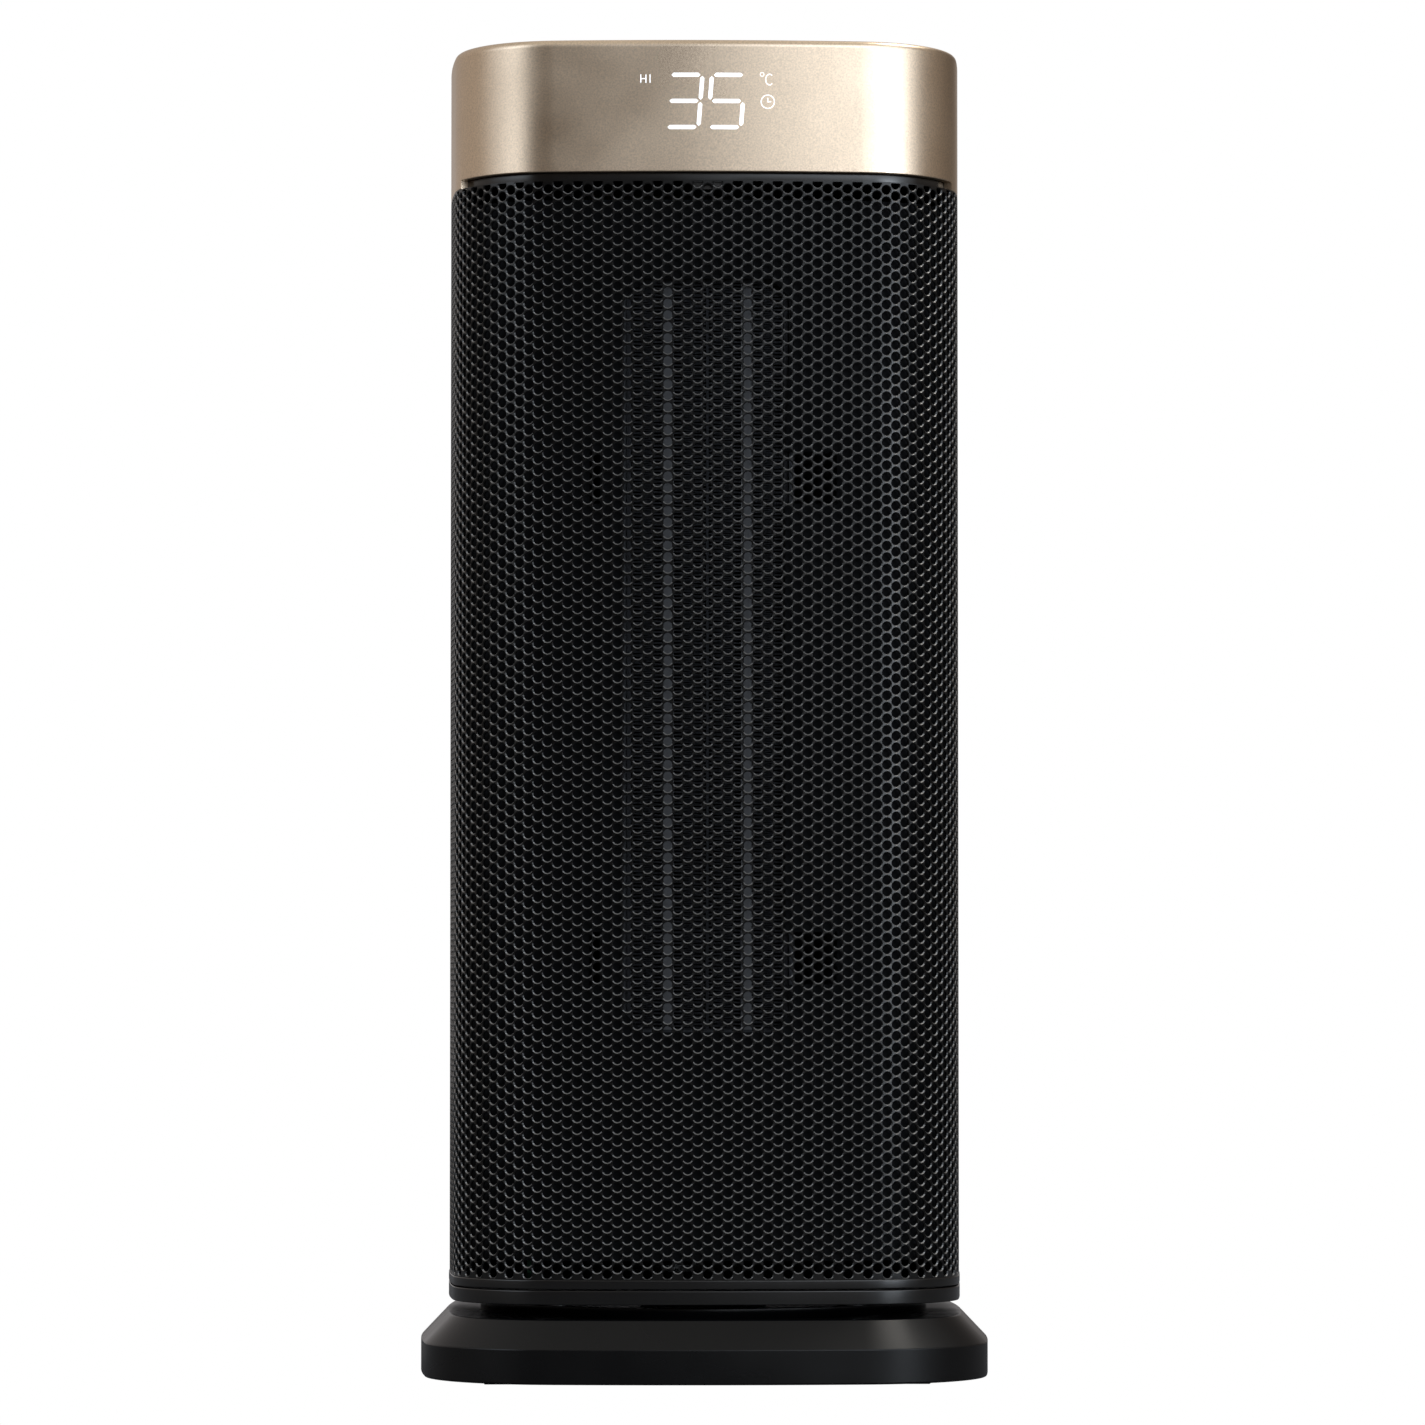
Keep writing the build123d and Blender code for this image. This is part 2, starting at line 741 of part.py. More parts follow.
intake_z = intake_bottom + intake_height / 2
intake_face_y = bowed_depth(intake_width / 2) - intake_sink
ledge_front_y = intake_face_y - intake_thickness
ledge_back_y = ledge_front_y - shell_wall
handle_floor_y = back_y - handle_depth
with BuildPart() as rear_shell:
    with BuildSketch(level(grille_bottom)):
        ring(0, -shell_wall)
        keep_rear(seam_y)
    extrude(amount=grille_height)
    # Frame round the air intake, with a ledge for its louvred panel
    with BuildSketch(level(intake_bottom - shell_wall)):
        plan(-shell_wall / 2)
        frame_reach = intake_width / 2 + shell_wall
        keep((-frame_reach, frame_reach), (ledge_back_y, body_depth))
    extrude(amount=intake_height + 2 * shell_wall)
    with BuildSketch(facing_back(ledge_front_y)):
        with Locations((0, intake_z)):
            Rectangle(intake_width, intake_height)
    extrude(amount=body_depth, mode=Mode.SUBTRACT)
    with BuildSketch(facing_back(ledge_back_y)):
        with Locations((0, intake_z)):
            Rectangle(intake_width - 2 * ledge_width, intake_height - 2 * ledge_width)
    extrude(amount=2 * shell_wall, mode=Mode.SUBTRACT)
    # Pocket for the fingers, to carry the heater by
    with BuildSketch(level(handle_z - handle_height / 2 - shell_wall)):
        plan(-shell_wall / 2)
        pocket_reach = handle_width / 2 + shell_wall
        keep((-pocket_reach, pocket_reach), (handle_floor_y - shell_wall, body_depth))
    extrude(amount=handle_height + 2 * shell_wall)
    with BuildSketch(facing_back(handle_floor_y)):
        with Locations((0, handle_z)):
            Rectangle(handle_width, handle_height)
    extrude(amount=body_depth, mode=Mode.SUBTRACT)
    # Opening for the rocker switch, and recesses for the screw heads
    with BuildSketch(facing_back(back_y - 2 * shell_wall)):
        with Locations((0, rocker_z)):
            Rectangle(switch_width + 2 * fit_gap, switch_height + 2 * fit_gap)
    extrude(amount=body_depth, mode=Mode.SUBTRACT)
    with BuildSketch(facing_back(rear_screw_seat_y)):
        with Locations(*rear_screw_spots):
            RegularPolygon(screw_head + plate_clearance, 6, major_radius=False)
    extrude(amount=body_depth, mode=Mode.SUBTRACT)
    with BuildSketch(facing_back(rear_screw_seat_y)):
        with Locations(*rear_screw_spots):
            RegularPolygon(screw_shank + fit_gap, 6, major_radius=False)
    extrude(amount=-screw_length - fit_gap, mode=Mode.SUBTRACT)
rear_shell.part.label = "rear_shell"
export_step(rear_shell.part, "parts/rear_shell.step")

with BuildPart() as rear_screws:
    with BuildSketch(facing_back(rear_screw_seat_y)):
        with Locations(*rear_screw_spots):
            RegularPolygon(screw_head, 6, major_radius=False)
    extrude(amount=screw_head_height)
    with BuildSketch(facing_back(rear_screw_seat_y)):
        with Locations(*rear_screw_spots):
            RegularPolygon(screw_shank, 6, major_radius=False)
    extrude(amount=-screw_length)
rear_screws.part.label = "rear_screws"
export_step(rear_screws.part, "parts/rear_screws.step")

louvre_span = intake_width - 2 * louvre_margin
louvre_pitch = (intake_height - 2 * louvre_margin) / louvre_rows
with BuildPart() as intake_louvres:
    with BuildSketch(facing_back(ledge_front_y)):
        with Locations((0, intake_z)):
            Rectangle(intake_width - 2 * intake_gap, intake_height - 2 * intake_gap)
            with GridLocations(louvre_span / louvre_columns, louvre_pitch, louvre_columns, louvre_rows):
                Rectangle(
                    louvre_span / louvre_columns - louvre_margin,
                    louvre_pitch * louvre_fill,
                    mode=Mode.SUBTRACT,
                )
    extrude(amount=intake_thickness)
intake_louvres.part.label = "intake_louvres"
export_step(intake_louvres.part, "parts/intake_louvres.step")

with BuildPart() as dust_filter:
    with BuildSketch(facing_back(ledge_back_y)):
        with Locations((0, intake_z)):
            Rectangle(intake_width, intake_height)
    extrude(amount=-filter_thickness)
    with BuildSketch(facing_back(ledge_back_y)):
        with Locations((0, intake_z)):
            with GridLocations(0, intake_height / 3, 1, 3):
                Rectangle(intake_width - 2 * ledge_width, intake_height / 3 - ledge_width)
    extrude(amount=-filter_thickness / 2, mode=Mode.SUBTRACT)
dust_filter.part.label = "dust_filter"
export_step(dust_filter.part, "parts/dust_filter.step")

# ---------------------------------------------------------------- ceramic heating element
panel_inset = grille_thickness + panel_gap
core_front_y = front_y + panel_inset + panel_wall + core_set_back
core_back_y = core_front_y + core_depth
core_middle_y = (core_front_y + core_back_y) / 2
core_half = electrode_thickness / 2 + 2 * fin_width + bar_width + rail_thickness
bar_x = electrode_thickness / 2 + fin_width + bar_width / 2
shroud_half = core_half + shroud_gap
shroud_bottom = core_bottom - end_cap_height - shroud_gap
shroud_top = core_top + end_cap_height + shroud_gap
panel_bottom = grille_bottom + panel_end_gap
panel_top = grille_top - panel_end_gap
panel_rear_y = seam_y - panel_rear_gap

with BuildPart() as outlet_panel:
    with BuildSketch(level(panel_bottom)):
        ring(-panel_inset, -panel_inset - panel_wall)
        keep_front(panel_rear_y)
    extrude(amount=panel_top - panel_bottom)
    # Legs at the rear edges that stand between the lower and the upper frame
    with BuildSketch(level(grille_bottom)):
        ring(-panel_inset, -panel_inset - panel_wall)
        keep((-body_width, body_width), (panel_rear_y - panel_leg, panel_rear_y))
    extrude(amount=grille_height)
    with BuildSketch(Plane.XZ):
        with Locations((0, core_z)):
            window = Rectangle(2 * shroud_half + 2 * window_margin, core_height + 2 * window_margin)
            chamfer(window.vertices(), window_corner)
        with Locations((vent_x, core_z - vent_spacing / 2), (vent_x, core_z + vent_spacing / 2)):
            Rectangle(vent_width, vent_height)
        with Locations((slit_x, core_z - vent_spacing / 2), (slit_x, core_z + vent_spacing / 2)):
            Rectangle(slit_width, vent_height)
    extrude(amount=body_depth, mode=Mode.SUBTRACT)
outlet_panel.part.label = "outlet_panel"
export_step(outlet_panel.part, "parts/outlet_panel.step")

with BuildPart() as element_shroud:
    with BuildSketch(Plane.XZ.offset(-core_back_y)):
        with Locations((0, core_z)):
            Rectangle(2 * (shroud_half + shroud_wall), shroud_top - shroud_bottom + 2 * shroud_wall)
            Rectangle(2 * shroud_half, shroud_top - shroud_bottom, mode=Mode.SUBTRACT)
    shroud_front_y = fit_gap - bowed_depth(shroud_half + shroud_wall, -panel_inset - panel_wall)
    extrude(amount=core_back_y - shroud_front_y)
element_shroud.part.label = "element_shroud"
export_step(element_shroud.part, "parts/element_shroud.step")


def upright_box(x, width, bottom, top, depth=core_depth):
    """Add an upright block of the element's depth, centred on a place across it."""
    with Locations((x, core_back_y, bottom)):
        Box(width, depth, top - bottom, align=(Align.CENTER, Align.MAX, Align.MIN))


with BuildPart() as ptc_bars:
    upright_box(-bar_x, bar_width, core_bottom, core_top)
    upright_box(bar_x, bar_width, core_bottom, core_top)
ptc_bars.part.label = "ptc_bars"
export_step(ptc_bars.part, "parts/ptc_bars.step")

with BuildPart() as centre_electrode:
    upright_box(0, electrode_thickness, core_bottom, core_top)
centre_electrode.part.label = "centre_electrode"
export_step(centre_electrode.part, "parts/centre_electrode.step")

with BuildPart() as element_rails:
    upright_box(-core_half + rail_thickness / 2, rail_thickness, core_bottom, core_top)
    upright_box(core_half - rail_thickness / 2, rail_thickness, core_bottom, core_top)
element_rails.part.label = "element_rails"
export_step(element_rails.part, "parts/element_rails.step")

with BuildPart() as element_end_caps:
    upright_box(0, 2 * core_half, core_bottom - end_cap_height, core_bottom)
    upright_box(0, 2 * core_half, core_top, core_top + end_cap_height)
element_end_caps.part.label = "element_end_caps"
export_step(element_end_caps.part, "parts/element_end_caps.step")


def corrugation(x):
    """Put one pleated fin strip, folded from bottom to top, into the open sketch."""
    fold = core_height / fin_folds
    half = fin_thickness * math.hypot(fin_width, fold) / (2 * fold)
    reach = fin_width / 2 - half
    crease = [(x + reach * (-1) ** n, core_bottom + n * fold) for n in range(fin_folds + 1)]
    left = [(px - half, pz) for px, pz in crease]
    right = [(px + half, pz) for px, pz in crease]
    Polygon(*left, *reversed(right), align=None)


with BuildPart() as heat_fins:
    with BuildSketch(Plane.XZ.offset(-core_back_y)):
        for side in (-1, 1):
            corrugation(side * (electrode_thickness + fin_width) / 2)
            corrugation(side * (electrode_thickness / 2 + 1.5 * fin_width + bar_width))
    extrude(amount=core_depth)
heat_fins.part.label = "heat_fins"
export_step(heat_fins.part, "parts/heat_fins.step")

with BuildPart() as element_terminals:
    terminal_spots = [(x, core_middle_y, shroud_bottom - shroud_wall) for x in (-bar_x, 0, bar_x)]
    with Locations(*terminal_spots):
        Box(
            terminal_width,
            terminal_thickness,
            terminal_length,
            align=(Align.CENTER, Align.CENTER, Align.MAX),
        )
element_terminals.part.label = "element_terminals"
export_step(element_terminals.part, "parts/element_terminals.step")

with BuildPart() as thermal_cutout:
    with Locations((0, core_middle_y, shroud_top + shroud_wall)):
        Box(cutout_size, cutout_size, cutout_size / 2, align=(Align.CENTER, Align.CENTER, Align.MIN))
thermal_cutout.part.label = "thermal_cutout"
export_step(thermal_cutout.part, "parts/thermal_cutout.step")

# ---------------------------------------------------------------- cross-flow blower
blower_bottom = shroud_bottom - shroud_wall + blower_plate
blower_top = shroud_top + shroud_wall - blower_plate
wheel_bottom = blower_bottom + wheel_end_gap
wheel_top = blower_top - wheel_end_gap
duct_x = shroud_half + shroud_wall / 2

scroll_start = (-duct_x - scroll_flare, wheel_y - scroll_lead)
scroll_middle = (-wheel_radius, wheel_y + wheel_radius - scroll_rise)
scroll_end = (scroll_lip, wheel_y + wheel_radius + scroll_gap)
tongue_bend = (duct_x, wheel_y - wheel_radius - tongue_gap)
tongue_tip = (wheel_radius - tongue_reach, wheel_y - wheel_radius + tongue_drop)

with BuildPart() as blower_housing:
    # The scroll that guides the air round the wheel, and the tongue that parts the flow
    with BuildSketch(level(blower_bottom)):
        with BuildLine():
            Line((-duct_x, core_back_y), scroll_start)
            ThreePointArc(scroll_start, scroll_middle, scroll_end)
        trace(line_width=blower_wall)
        with BuildLine():
            Polyline((duct_x, core_back_y), tongue_bend, tongue_tip)
        trace(line_width=blower_wall)
        keep((-body_width, body_width), (core_back_y, body_depth))
    extrude(amount=blower_top - blower_bottom)
    with BuildSketch(level(blower_bottom)):
        Rectangle(2 * blower_half_width, 2 * blower_back)
        keep((-body_width, body_width), (core_back_y, body_depth))
        with Locations((0, wheel_y)):
            Circle(shaft_hole, mode=Mode.SUBTRACT)
    extrude(amount=-blower_plate)
blower_housing.part.label = "blower_housing"
export_step(blower_housing.part, "parts/blower_housing.step")

with BuildPart() as bearing_plate:
    with BuildSketch(level(blower_top)):
        Rectangle(2 * blower_half_width, 2 * blower_back)
        keep((-body_width, body_width), (core_back_y, body_depth))
        with Locations((0, wheel_y)):
            RegularPolygon(bearing_size, 6, major_radius=False, mode=Mode.SUBTRACT)
    extrude(amount=blower_plate)
bearing_plate.part.label = "bearing_plate"
export_step(bearing_plate.part, "parts/bearing_plate.step")

with BuildPart() as upper_bearing:
    with BuildSketch(level(blower_top)):
        with Locations((0, wheel_y)):
            RegularPolygon(bearing_size, 6, major_radius=False)
            Circle(shaft_radius + running_clearance, mode=Mode.SUBTRACT)
    extrude(amount=bearing_length)
upper_bearing.part.label = "upper_bearing"
export_step(upper_bearing.part, "parts/upper_bearing.step")

blade_inner = Vector(wheel_radius - wheel_rim, 0)
blade_outer = Vector(wheel_radius - wheel_overlap, 0).rotate(Axis.Z, blade_lean)
with BuildSketch() as blade_plan:
    with BuildLine():
        Line(blade_inner, blade_outer)
    trace(line_width=blade_thickness)
with BuildPart() as blower_wheel:
    for bottom in (wheel_bottom, wheel_top - wheel_disc):
        with BuildSketch(level(bottom)):
            with Locations((0, wheel_y)):
                Circle(wheel_radius)
                Circle(shaft_radius, mode=Mode.SUBTRACT)
        extrude(amount=wheel_disc)
    # Blades that lean forward in the direction of turning
    with BuildSketch(level(wheel_bottom + wheel_disc)):
        with Locations((0, wheel_y)):
            with PolarLocations(0, wheel_blades):
                add(blade_plan.sketch)
    extrude(amount=wheel_top - wheel_bottom - 2 * wheel_disc)
blower_wheel.part.label = "blower_wheel"
export_step(blower_wheel.part, "parts/blower_wheel.step")

with BuildPart() as wheel_axle:
    with BuildSketch(level(wheel_top - wheel_disc)):
        with Locations((0, wheel_y)):
            Circle(shaft_radius)
    extrude(amount=blower_top + bearing_length - wheel_top + wheel_disc)
wheel_axle.part.label = "wheel_axle"
export_step(wheel_axle.part, "parts/wheel_axle.step")

bracket_top = blower_bottom - blower_plate
bracket_under = bracket_top - bracket_thickness
with BuildPart() as motor_shaft:
    with BuildSketch(level(bracket_under + shaft_end_gap)):
        with Locations((0, wheel_y)):
            Circle(shaft_radius)
    extrude(amount=wheel_bottom + wheel_disc - bracket_under - shaft_end_gap)
motor_shaft.part.label = "motor_shaft"
export_step(motor_shaft.part, "parts/motor_shaft.step")

with BuildPart() as fan_motor:
    with BuildSketch(level(bracket_under)):
        with Locations((0, wheel_y)):
            Circle(fan_motor_radius)
    extrude(amount=-fan_motor_height)
fan_motor.part.label = "fan_motor"
export_step(fan_motor.part, "parts/fan_motor.step")

with BuildPart() as motor_bracket:
    with BuildSketch(Plane.XZ.offset(-wheel_y)):
        leg_x = blower_half_width - bracket_thickness / 2
        with BuildLine():
            half = bracket_thickness / 2
            Polyline(
                (-leg_x - bracket_foot, grille_bottom + half),
                (-leg_x, grille_bottom + half),
                (-leg_x, bracket_top - half),
                (leg_x, bracket_top - half),
                (leg_x, grille_bottom + half),
                (leg_x + bracket_foot, grille_bottom + half),
            )
        trace(line_width=bracket_thickness)
    extrude(amount=bracket_depth / 2, both=True)
    with BuildSketch(level(bracket_under)):
        with Locations((0, wheel_y)):
            Circle(shaft_hole)
    extrude(amount=bracket_thickness, mode=Mode.SUBTRACT)
motor_bracket.part.label = "motor_bracket"
export_step(motor_bracket.part, "parts/motor_bracket.step")

# ---------------------------------------------------------------- boards and sensor
power_board_x = power_board_inset - body_width / 2
board_parts = [
    (transformer_y, transformer_z, transformer_size),
    (relay_y, relay_z, relay_size),
    (capacitor_y, capacitor_z, capacitor_size),
]
with BuildPart() as power_board:
    with Locations((power_board_x, 0, grille_bottom)):
        standing = (Align.CENTER, Align.CENTER, Align.MIN)
        Box(board_thickness, power_board_length, power_board_height, align=standing)
    # A transformer, a relay and a capacitor on its inner face
    for y, z, size in board_parts:
        with Locations((power_board_x + board_thickness / 2, y, grille_bottom + z)):
            Box(size * component_depth, size, size, align=(Align.MIN, Align.CENTER, Align.CENTER))
power_board.part.label = "power_board"
export_step(power_board.part, "parts/power_board.step")

with BuildPart() as temperature_sensor:
    with Locations((sensor_x, sensor_y, grille_bottom)):
        Box(sensor_size / 2, sensor_size, 2 * sensor_size, align=standing)
temperature_sensor.part.label = "temperature_sensor"
export_step(temperature_sensor.part, "parts/temperature_sensor.step")

# ---------------------------------------------------------------- cap
with BuildPart() as top_frame:
    with BuildSketch(level(grille_top)):
        plan(-reveal_inset)
        Rectangle(top_opening, top_opening, mode=Mode.SUBTRACT)
    extrude(amount=reveal_height)
    with BuildSketch(level(grille_top)):
        add(lug_plan.sketch)
        plan(-reveal_inset, Mode.INTERSECT)
    extrude(amount=-lug_height)
    with BuildSketch(level(grille_top)):
        add(rear_boss_plan.sketch)
    extrude(amount=-rear_boss_height)
    with BuildSketch(facing_back(rear_screw_seat_y)):
        with Locations(*rear_screw_spots):
            RegularPolygon(screw_shank + fit_gap, 6, major_radius=False)
    extrude(amount=-screw_length - fit_gap, mode=Mode.SUBTRACT)
top_frame.part.label = "top_frame"
export_step(top_frame.part, "parts/top_frame.step")

rim_under = top_z - cap_rim_thickness
with BuildPart() as cap_band:
    with BuildSketch(level(grille_top)):
        plan()
    extrude(amount=top_z - grille_top)
    fillet(cap_band.edges().group_by(Axis.Z)[-1], cap_edge_radius)
    with BuildSketch(level(grille_top)):
        plan(-cap_wall)
    extrude(amount=rim_under - grille_top, mode=Mode.SUBTRACT)
    with BuildSketch(level(rim_under)):
        plan(-cap_rim)
    extrude(amount=cap_rim_thickness, mode=Mode.SUBTRACT)
    # The front stops short of the grille and leaves a shadow gap
    with BuildSketch(level(grille_top)):
        plan(cap_wall)
        keep_front(reveal_end_y)
    extrude(amount=reveal_height, mode=Mode.SUBTRACT)
cap_band.part.label = "cap_band"
export_step(cap_band.part, "parts/cap_band.step")

panel_face = top_z - top_panel_sink
panel_under = rim_under - top_panel_flange
button_xs = [(n - (button_count - 1) / 2) * button_pitch for n in range(button_count)]
board_top = panel_under - button_rest_gap - button_flange_thickness - button_stem_length
board_top -= button_travel + button_rest_gap + tact_height
board_reach = button_xs[-1] + button_width / 2 + control_board_margin
with BuildPart() as top_panel:
    with BuildSketch(level(panel_under)):
        plan(-cap_rim + top_panel_lip)
    extrude(amount=top_panel_flange)
    with BuildSketch(level(rim_under)):
        plan(-cap_rim - top_panel_gap)
    extrude(amount=panel_face - rim_under)
    with BuildSketch(level(panel_face)):
        with Locations(*[(x, button_y) for x in button_xs]):
            Rectangle(button_width + 2 * button_clearance, button_depth + 2 * button_clearance)
    extrude(amount=panel_under - panel_face, mode=Mode.SUBTRACT)
    # Posts that hang the control board
    with BuildSketch(level(board_top)):
        with Locations((0, button_y)):
            with GridLocations(2 * board_reach - board_post, 0, 2, 1):
                Rectangle(board_post, control_board_depth)
    extrude(amount=panel_under - board_top)
top_panel.part.label = "top_panel"
export_step(top_panel.part, "parts/top_panel.step")

with BuildPart() as control_board:
    with BuildSketch(level(board_top)):
        with Locations((0, button_y)):
            Rectangle(2 * board_reach, control_board_depth)
    extrude(amount=-board_thickness)
    with BuildSketch(level(board_top)):
        with Locations(*[(x, button_y) for x in button_xs]):
            Rectangle(tact_size, tact_size)
    extrude(amount=tact_height)
control_board.part.label = "control_board"
export_step(control_board.part, "parts/control_board.step")

button_names = ["power_button", "mode_button", "timer_button", "swing_button", "temperature_button"]
for name, x in zip(button_names, button_xs):
    flange_top = panel_under - button_rest_gap
    with BuildPart() as button:
        with BuildSketch(level(flange_top)):
            with Locations((x, button_y)):
                Rectangle(button_width, button_depth)
        extrude(amount=panel_face + button_proud - flange_top)
        chamfer(button.edges().group_by(Axis.Z)[-1], button_proud / 2)
        with BuildSketch(level(flange_top)):
            with Locations((x, button_y)):
                Rectangle(button_width + 2 * button_flange, button_depth + 2 * button_flange)
        extrude(amount=-button_flange_thickness)
        with BuildSketch(level(flange_top - button_flange_thickness)):
            with Locations((x, button_y)):
                Rectangle(button_stem, button_stem)
        extrude(amount=-button_stem_length)
    button.part.label = name
    export_step(button.part, f"parts/{name}.step")

display_back_y = front_y + cap_wall + display_depth
with BuildPart() as display_housing:
    with BuildSketch(level(cap_bottom)):
        plan(-cap_wall - fit_gap)
        keep((-display_width / 2, display_width / 2), (-body_depth, display_back_y))
    extrude(amount=cap_height - cap_rim_thickness - display_top_gap)
display_housing.part.label = "display_housing"
export_step(display_housing.part, "parts/display_housing.step")

with BuildPart() as display_board:
    with Locations((0, display_back_y, cap_bottom)):
        Box(
            display_width,
            board_thickness,
            cap_height - cap_rim_thickness - display_top_gap,
            align=(Align.CENTER, Align.MIN, Align.MIN),
        )
display_board.part.label = "display_board"
export_step(display_board.part, "parts/display_board.step")

# ---------------------------------------------------------------- rocker switch
rocker_axis_y = back_y + bezel_proud - rocker_axis_depth
rocker_width = switch_width - 2 * switch_wall - 2 * rocker_gap
cavity_half = switch_height / 2 - switch_wall / 2
with BuildPart() as switch_housing:
    with BuildSketch(facing_back(back_y)):
        with Locations((0, rocker_z)):
            Rectangle(bezel_width, bezel_height)
    extrude(amount=bezel_proud)
    with BuildSketch(facing_back(back_y)):
        with Locations((0, rocker_z)):
            Rectangle(switch_width, switch_height)
    extrude(amount=-switch_depth)
    with BuildSketch(facing_back(back_y + bezel_proud)):
        with Locations((0, rocker_z)):
            Rectangle(switch_width - 2 * switch_wall, 2 * cavity_half)
    extrude(amount=-rocker_axis_depth - rocker_half_height - rocker_gap, mode=Mode.SUBTRACT)
switch_housing.part.label = "switch_housing"
export_step(switch_housing.part, "parts/switch_housing.step")

# Seen from its side, a rocker is two faces that meet in a shallow dip over a round belly.
rocker_plane = Plane(
    origin=(-rocker_width / 2, rocker_axis_y, rocker_z),
    x_dir=Vector(0, 1, 0).rotate(Axis.X, -rocker_tilt),
    z_dir=(1, 0, 0),
)
with BuildPart() as power_rocker:
    with BuildSketch(rocker_plane):
        with BuildLine():
            Polyline(
                (0, -rocker_half_height),
                (rocker_reach, -rocker_half_height),
                (rocker_reach - rocker_dip, 0),
                (rocker_reach, rocker_half_height),
                (0, rocker_half_height),
            )
            ThreePointArc((0, rocker_half_height), (-rocker_half_height, 0), (0, -rocker_half_height))
        make_face()
    extrude(amount=rocker_width)
power_rocker.part.label = "power_rocker"
export_step(power_rocker.part, "parts/power_rocker.step")
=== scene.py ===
"""Looks of a ceramic tower heater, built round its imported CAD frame. Lengths are in metres."""

import json
import math

import bmesh
import bpy
import numpy as np
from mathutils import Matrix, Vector


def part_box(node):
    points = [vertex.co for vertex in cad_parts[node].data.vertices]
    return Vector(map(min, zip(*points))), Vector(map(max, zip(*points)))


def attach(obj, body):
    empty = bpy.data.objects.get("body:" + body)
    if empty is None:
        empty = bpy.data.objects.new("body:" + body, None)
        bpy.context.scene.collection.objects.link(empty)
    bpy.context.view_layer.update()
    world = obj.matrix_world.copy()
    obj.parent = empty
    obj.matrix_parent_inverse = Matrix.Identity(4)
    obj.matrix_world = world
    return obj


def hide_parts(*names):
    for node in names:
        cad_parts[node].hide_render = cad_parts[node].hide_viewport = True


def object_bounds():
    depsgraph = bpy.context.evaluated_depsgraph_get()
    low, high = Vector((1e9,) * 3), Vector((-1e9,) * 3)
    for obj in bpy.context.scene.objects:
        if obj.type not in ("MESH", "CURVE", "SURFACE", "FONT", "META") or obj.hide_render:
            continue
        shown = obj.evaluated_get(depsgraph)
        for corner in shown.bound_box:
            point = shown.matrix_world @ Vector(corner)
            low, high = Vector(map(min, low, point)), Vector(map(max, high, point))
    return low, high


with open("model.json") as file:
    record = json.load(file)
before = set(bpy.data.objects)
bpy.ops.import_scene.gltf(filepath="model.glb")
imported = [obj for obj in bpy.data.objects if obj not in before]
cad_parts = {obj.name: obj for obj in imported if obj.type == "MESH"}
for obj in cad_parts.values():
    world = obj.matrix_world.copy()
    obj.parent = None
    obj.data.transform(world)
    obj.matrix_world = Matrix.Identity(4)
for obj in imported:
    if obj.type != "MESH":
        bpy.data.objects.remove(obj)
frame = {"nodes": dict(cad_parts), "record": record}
cad_low, cad_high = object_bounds()

MM = 0.001
scene = bpy.context.scene

# ------------------------------------------------------------------ sizes and names from the frame
grille_low, grille_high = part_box("front_grille")
base_low, base_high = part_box("base_shell")
inlet_low, inlet_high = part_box("cord_inlet")
deck_low, deck_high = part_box("lower_frame")
fins_low, fins_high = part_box("heat_fins")
cap_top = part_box("cap_band")[1].z
top_frame_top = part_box("top_frame")[1].z
spindle_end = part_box("bottom_pan")[0].z
slots = {entry["node"]: entry["material_slot"] for entry in frame["record"]["subparts"]}
bodies = {node: body for body, nodes in frame["record"]["behaviour"]["bodies"].items() for node in nodes}

# ------------------------------------------------------------------ plan of the tower
# A square with bowed sides and round corners, as a loop of arcs from the front's middle.
half_width = grille_high.x
half_depth = -grille_low.y
seam_y = grille_high.y
side_bow = 7 * MM
corner_radius = 44 * MM
CORNER_STEPS = 28  # to an arc at a corner, and to one along a side
SIDE_STEPS = 8


def bow_radius(half_side):
    """Radius of a side that bows out past the square's corners."""
    return ((half_side - side_bow) ** 2 + side_bow**2) / (2 * side_bow)


def corner_centre(face, flank):
    """Centre of the round corner that touches the front's circle and the side's circle."""
    (fx, fy, fr), (sx, sy, sr) = face, flank
    fr, sr = fr - corner_radius, sr - corner_radius
    span = math.hypot(sx - fx, sy - fy)
    along = (fr**2 - sr**2 + span**2) / (2 * span)
    aside = math.sqrt(fr**2 - along**2)
    ux, uy = (sx - fx) / span, (sy - fy) / span
    places = [(fx + along * ux - k * aside * uy, fy + along * uy + k * aside * ux) for k in (-1, 1)]
    return max(places, key=lambda place: place[0] - place[1])


def plan_arcs():
    """The plan's arcs in order, each as its centre, radius, first and last angle."""
    face = (0.0, bow_radius(half_width) - half_depth, bow_radius(half_width))
    flank = (half_width - bow_radius(half_depth), 0.0, bow_radius(half_depth))
    kx, ky = corner_centre(face, flank)
    turn_in = math.atan2(ky - face[1], kx - face[0])
    turn_out = math.atan2(ky - flank[1], kx - flank[0])
    quarter = [
        (*face, -math.pi / 2, turn_in),
        (kx, ky, corner_radius, turn_in, turn_out),
        (*flank, turn_out, 0.0),
    ]
    half = quarter + [(cx, -cy, r, -last, -first) for cx, cy, r, first, last in reversed(quarter)]
    other = [(-cx, cy, r, math.pi - last, math.pi - first) for cx, cy, r, first, last in reversed(half)]
    return np.array(half + other)


arcs = plan_arcs()
arc_ends = np.cumsum(arcs[:, 2] * (arcs[:, 4] - arcs[:, 3]))
arc_starts = arc_ends - arcs[:, 2] * (arcs[:, 4] - arcs[:, 3])
plan_length = arc_ends[-1]
side_arc = plan_length / 4


